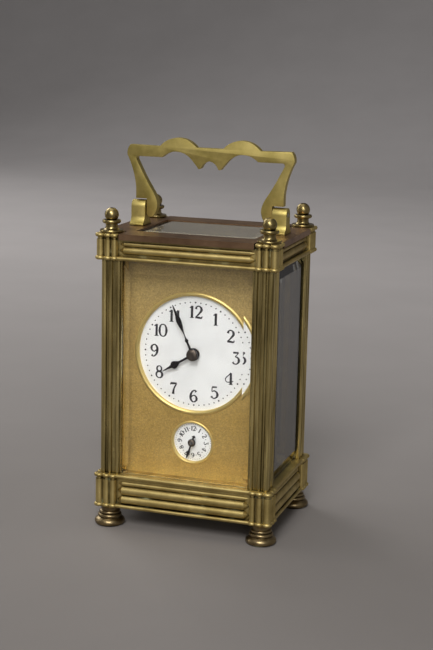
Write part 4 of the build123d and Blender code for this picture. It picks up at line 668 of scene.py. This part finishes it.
# %% [markdown]
# Steel screws with slotted heads hold the plates together and the platform down. One head is turned
# from a cylinder: its upper rim is bevelled round and a Boolean with a thin bar cuts the slot.
# The rest are copies with their own meshes, each turned a little differently, as a hand leaves them.

# %% Slotted screws
SLOT_LENGTH, SLOT_WIDTH = 3, 0.3  # as shares of the head's radius
RIM_ROUNDING = 0.25  # as a share of the head's height
FIRST_TURN, NEXT_TURN = 25, 47  # degrees, so that no two slots lie alike


def screw_head(radius_mm, height_mm):
    """One slotted head, seated on z = 0."""
    bpy.ops.object.select_all(action="DESELECT")
    bpy.ops.mesh.primitive_cube_add(size=1, location=(0, 0, height_mm * MM))
    bar = bpy.context.object
    slot_size = (SLOT_LENGTH * radius_mm * MM, SLOT_WIDTH * radius_mm * MM, height_mm * MM)
    bpy.ops.transform.resize(value=slot_size)
    bpy.ops.object.transform_apply(location=True, rotation=True, scale=True)
    bpy.ops.object.select_all(action="DESELECT")
    middle_z = height_mm * MM / 2
    bpy.ops.mesh.primitive_cylinder_add(
        vertices=32, radius=radius_mm * MM, depth=height_mm * MM, location=(0, 0, middle_z)
    )
    head = bpy.context.object
    bpy.ops.object.transform_apply(location=True, rotation=True, scale=True)
    # A new primitive is selected all over, so its faces and edges are cleared before the rim is picked.
    bpy.ops.object.mode_set(mode="EDIT")
    bpy.ops.mesh.select_mode(type="EDGE")
    bpy.ops.mesh.select_all(action="DESELECT")
    bpy.ops.object.mode_set(mode="OBJECT")
    for rim in head.data.edges:
        rim.select = all(head.data.vertices[v].co.z > middle_z for v in rim.vertices)
    bpy.ops.object.mode_set(mode="EDIT")
    bpy.ops.mesh.bevel(offset=RIM_ROUNDING * height_mm * MM, segments=3)
    bpy.ops.object.mode_set(mode="OBJECT")
    slot = head.modifiers.new("slot", "BOOLEAN")
    slot.object, slot.operation = bar, "DIFFERENCE"
    bpy.ops.object.modifier_apply(modifier=slot.name)
    bpy.data.objects.remove(bar)
    bpy.ops.object.shade_smooth_by_angle(angle=radians(35))
    head.data.materials.append(steel)
    return head


def set_screws(name, pattern, places, lean_over):
    """Copies of a head at (x, y, z), tipped from upright by lean_over."""
    for order, at in enumerate(places):
        screw = bpy.data.objects.new(f"{name}_{order + 1}", pattern.data.copy())
        scene.collection.objects.link(screw)
        spot = Matrix.Translation(Vector(at) * MM)
        left_at = Matrix.Rotation(radians(FIRST_TURN + NEXT_TURN * order), 4, "Z")
        screw.data.transform(spot @ lean_over @ left_at)
        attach(screw, "case")
    print(name, "count:", len(places), "faces each:", len(pattern.data.polygons))
    bpy.data.objects.remove(pattern)


plate_back, platform_top = 12.5, 97.5  # the faces that the heads sit on
plate_places = [(x, plate_back, z) for x in (-20.5, 20.5) for z in (25.3, 91.6)]
backwards = Matrix.Rotation(radians(-90), 4, "X")
set_screws("plate_screw", screw_head(1.8, 0.9), plate_places, backwards)
platform_places = [(x, y, platform_top) for x in (-11.3, 11.3) for y in (-7.0, 11.0)]
set_screws("platform_screw", screw_head(1.1, 0.7), platform_places, Matrix.Identity(4))

# %% [markdown]
# The hairspring lies between the balance and its cock: a flat spiral of blued wire, six turns from
# the staff outwards. It could be drawn by hand, but a curve with a thin round section, set out point
# after point, keeps its turns evenly apart. On a real clock the outer end is pinned; here the whole
# spring turns with the balance.

# %% Hairspring
wire = bpy.data.curves.new("hairspring", "CURVE")
wire.dimensions, wire.bevel_depth, wire.bevel_resolution = "3D", 0.07 * MM, 1
turns, steps, inner, pitch = 6, 20, 1.0, 0.45
staff_x, staff_y, coil_z = 7.6, 1.0, 103.3
coil = wire.splines.new("POLY")
coil.points.add(turns * steps)
for order, knot in enumerate(coil.points):
    angle = 2 * pi * order / steps
    reach = inner + pitch * order / steps
    at_x, at_y = staff_x + reach * cos(angle), staff_y + reach * sin(angle)
    knot.co = (at_x * MM, at_y * MM, coil_z * MM, 1)
spring = bpy.data.objects.new("hairspring", wire)
scene.collection.objects.link(spring)
bpy.ops.object.select_all(action="DESELECT")
spring.select_set(True)
bpy.context.view_layer.objects.active = spring
bpy.ops.object.convert(target="MESH")
spring = bpy.context.object
spring.data.materials.append(blued)
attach(spring, "balance_body")
print("hairspring turns:", turns, "faces:", len(spring.data.polygons))
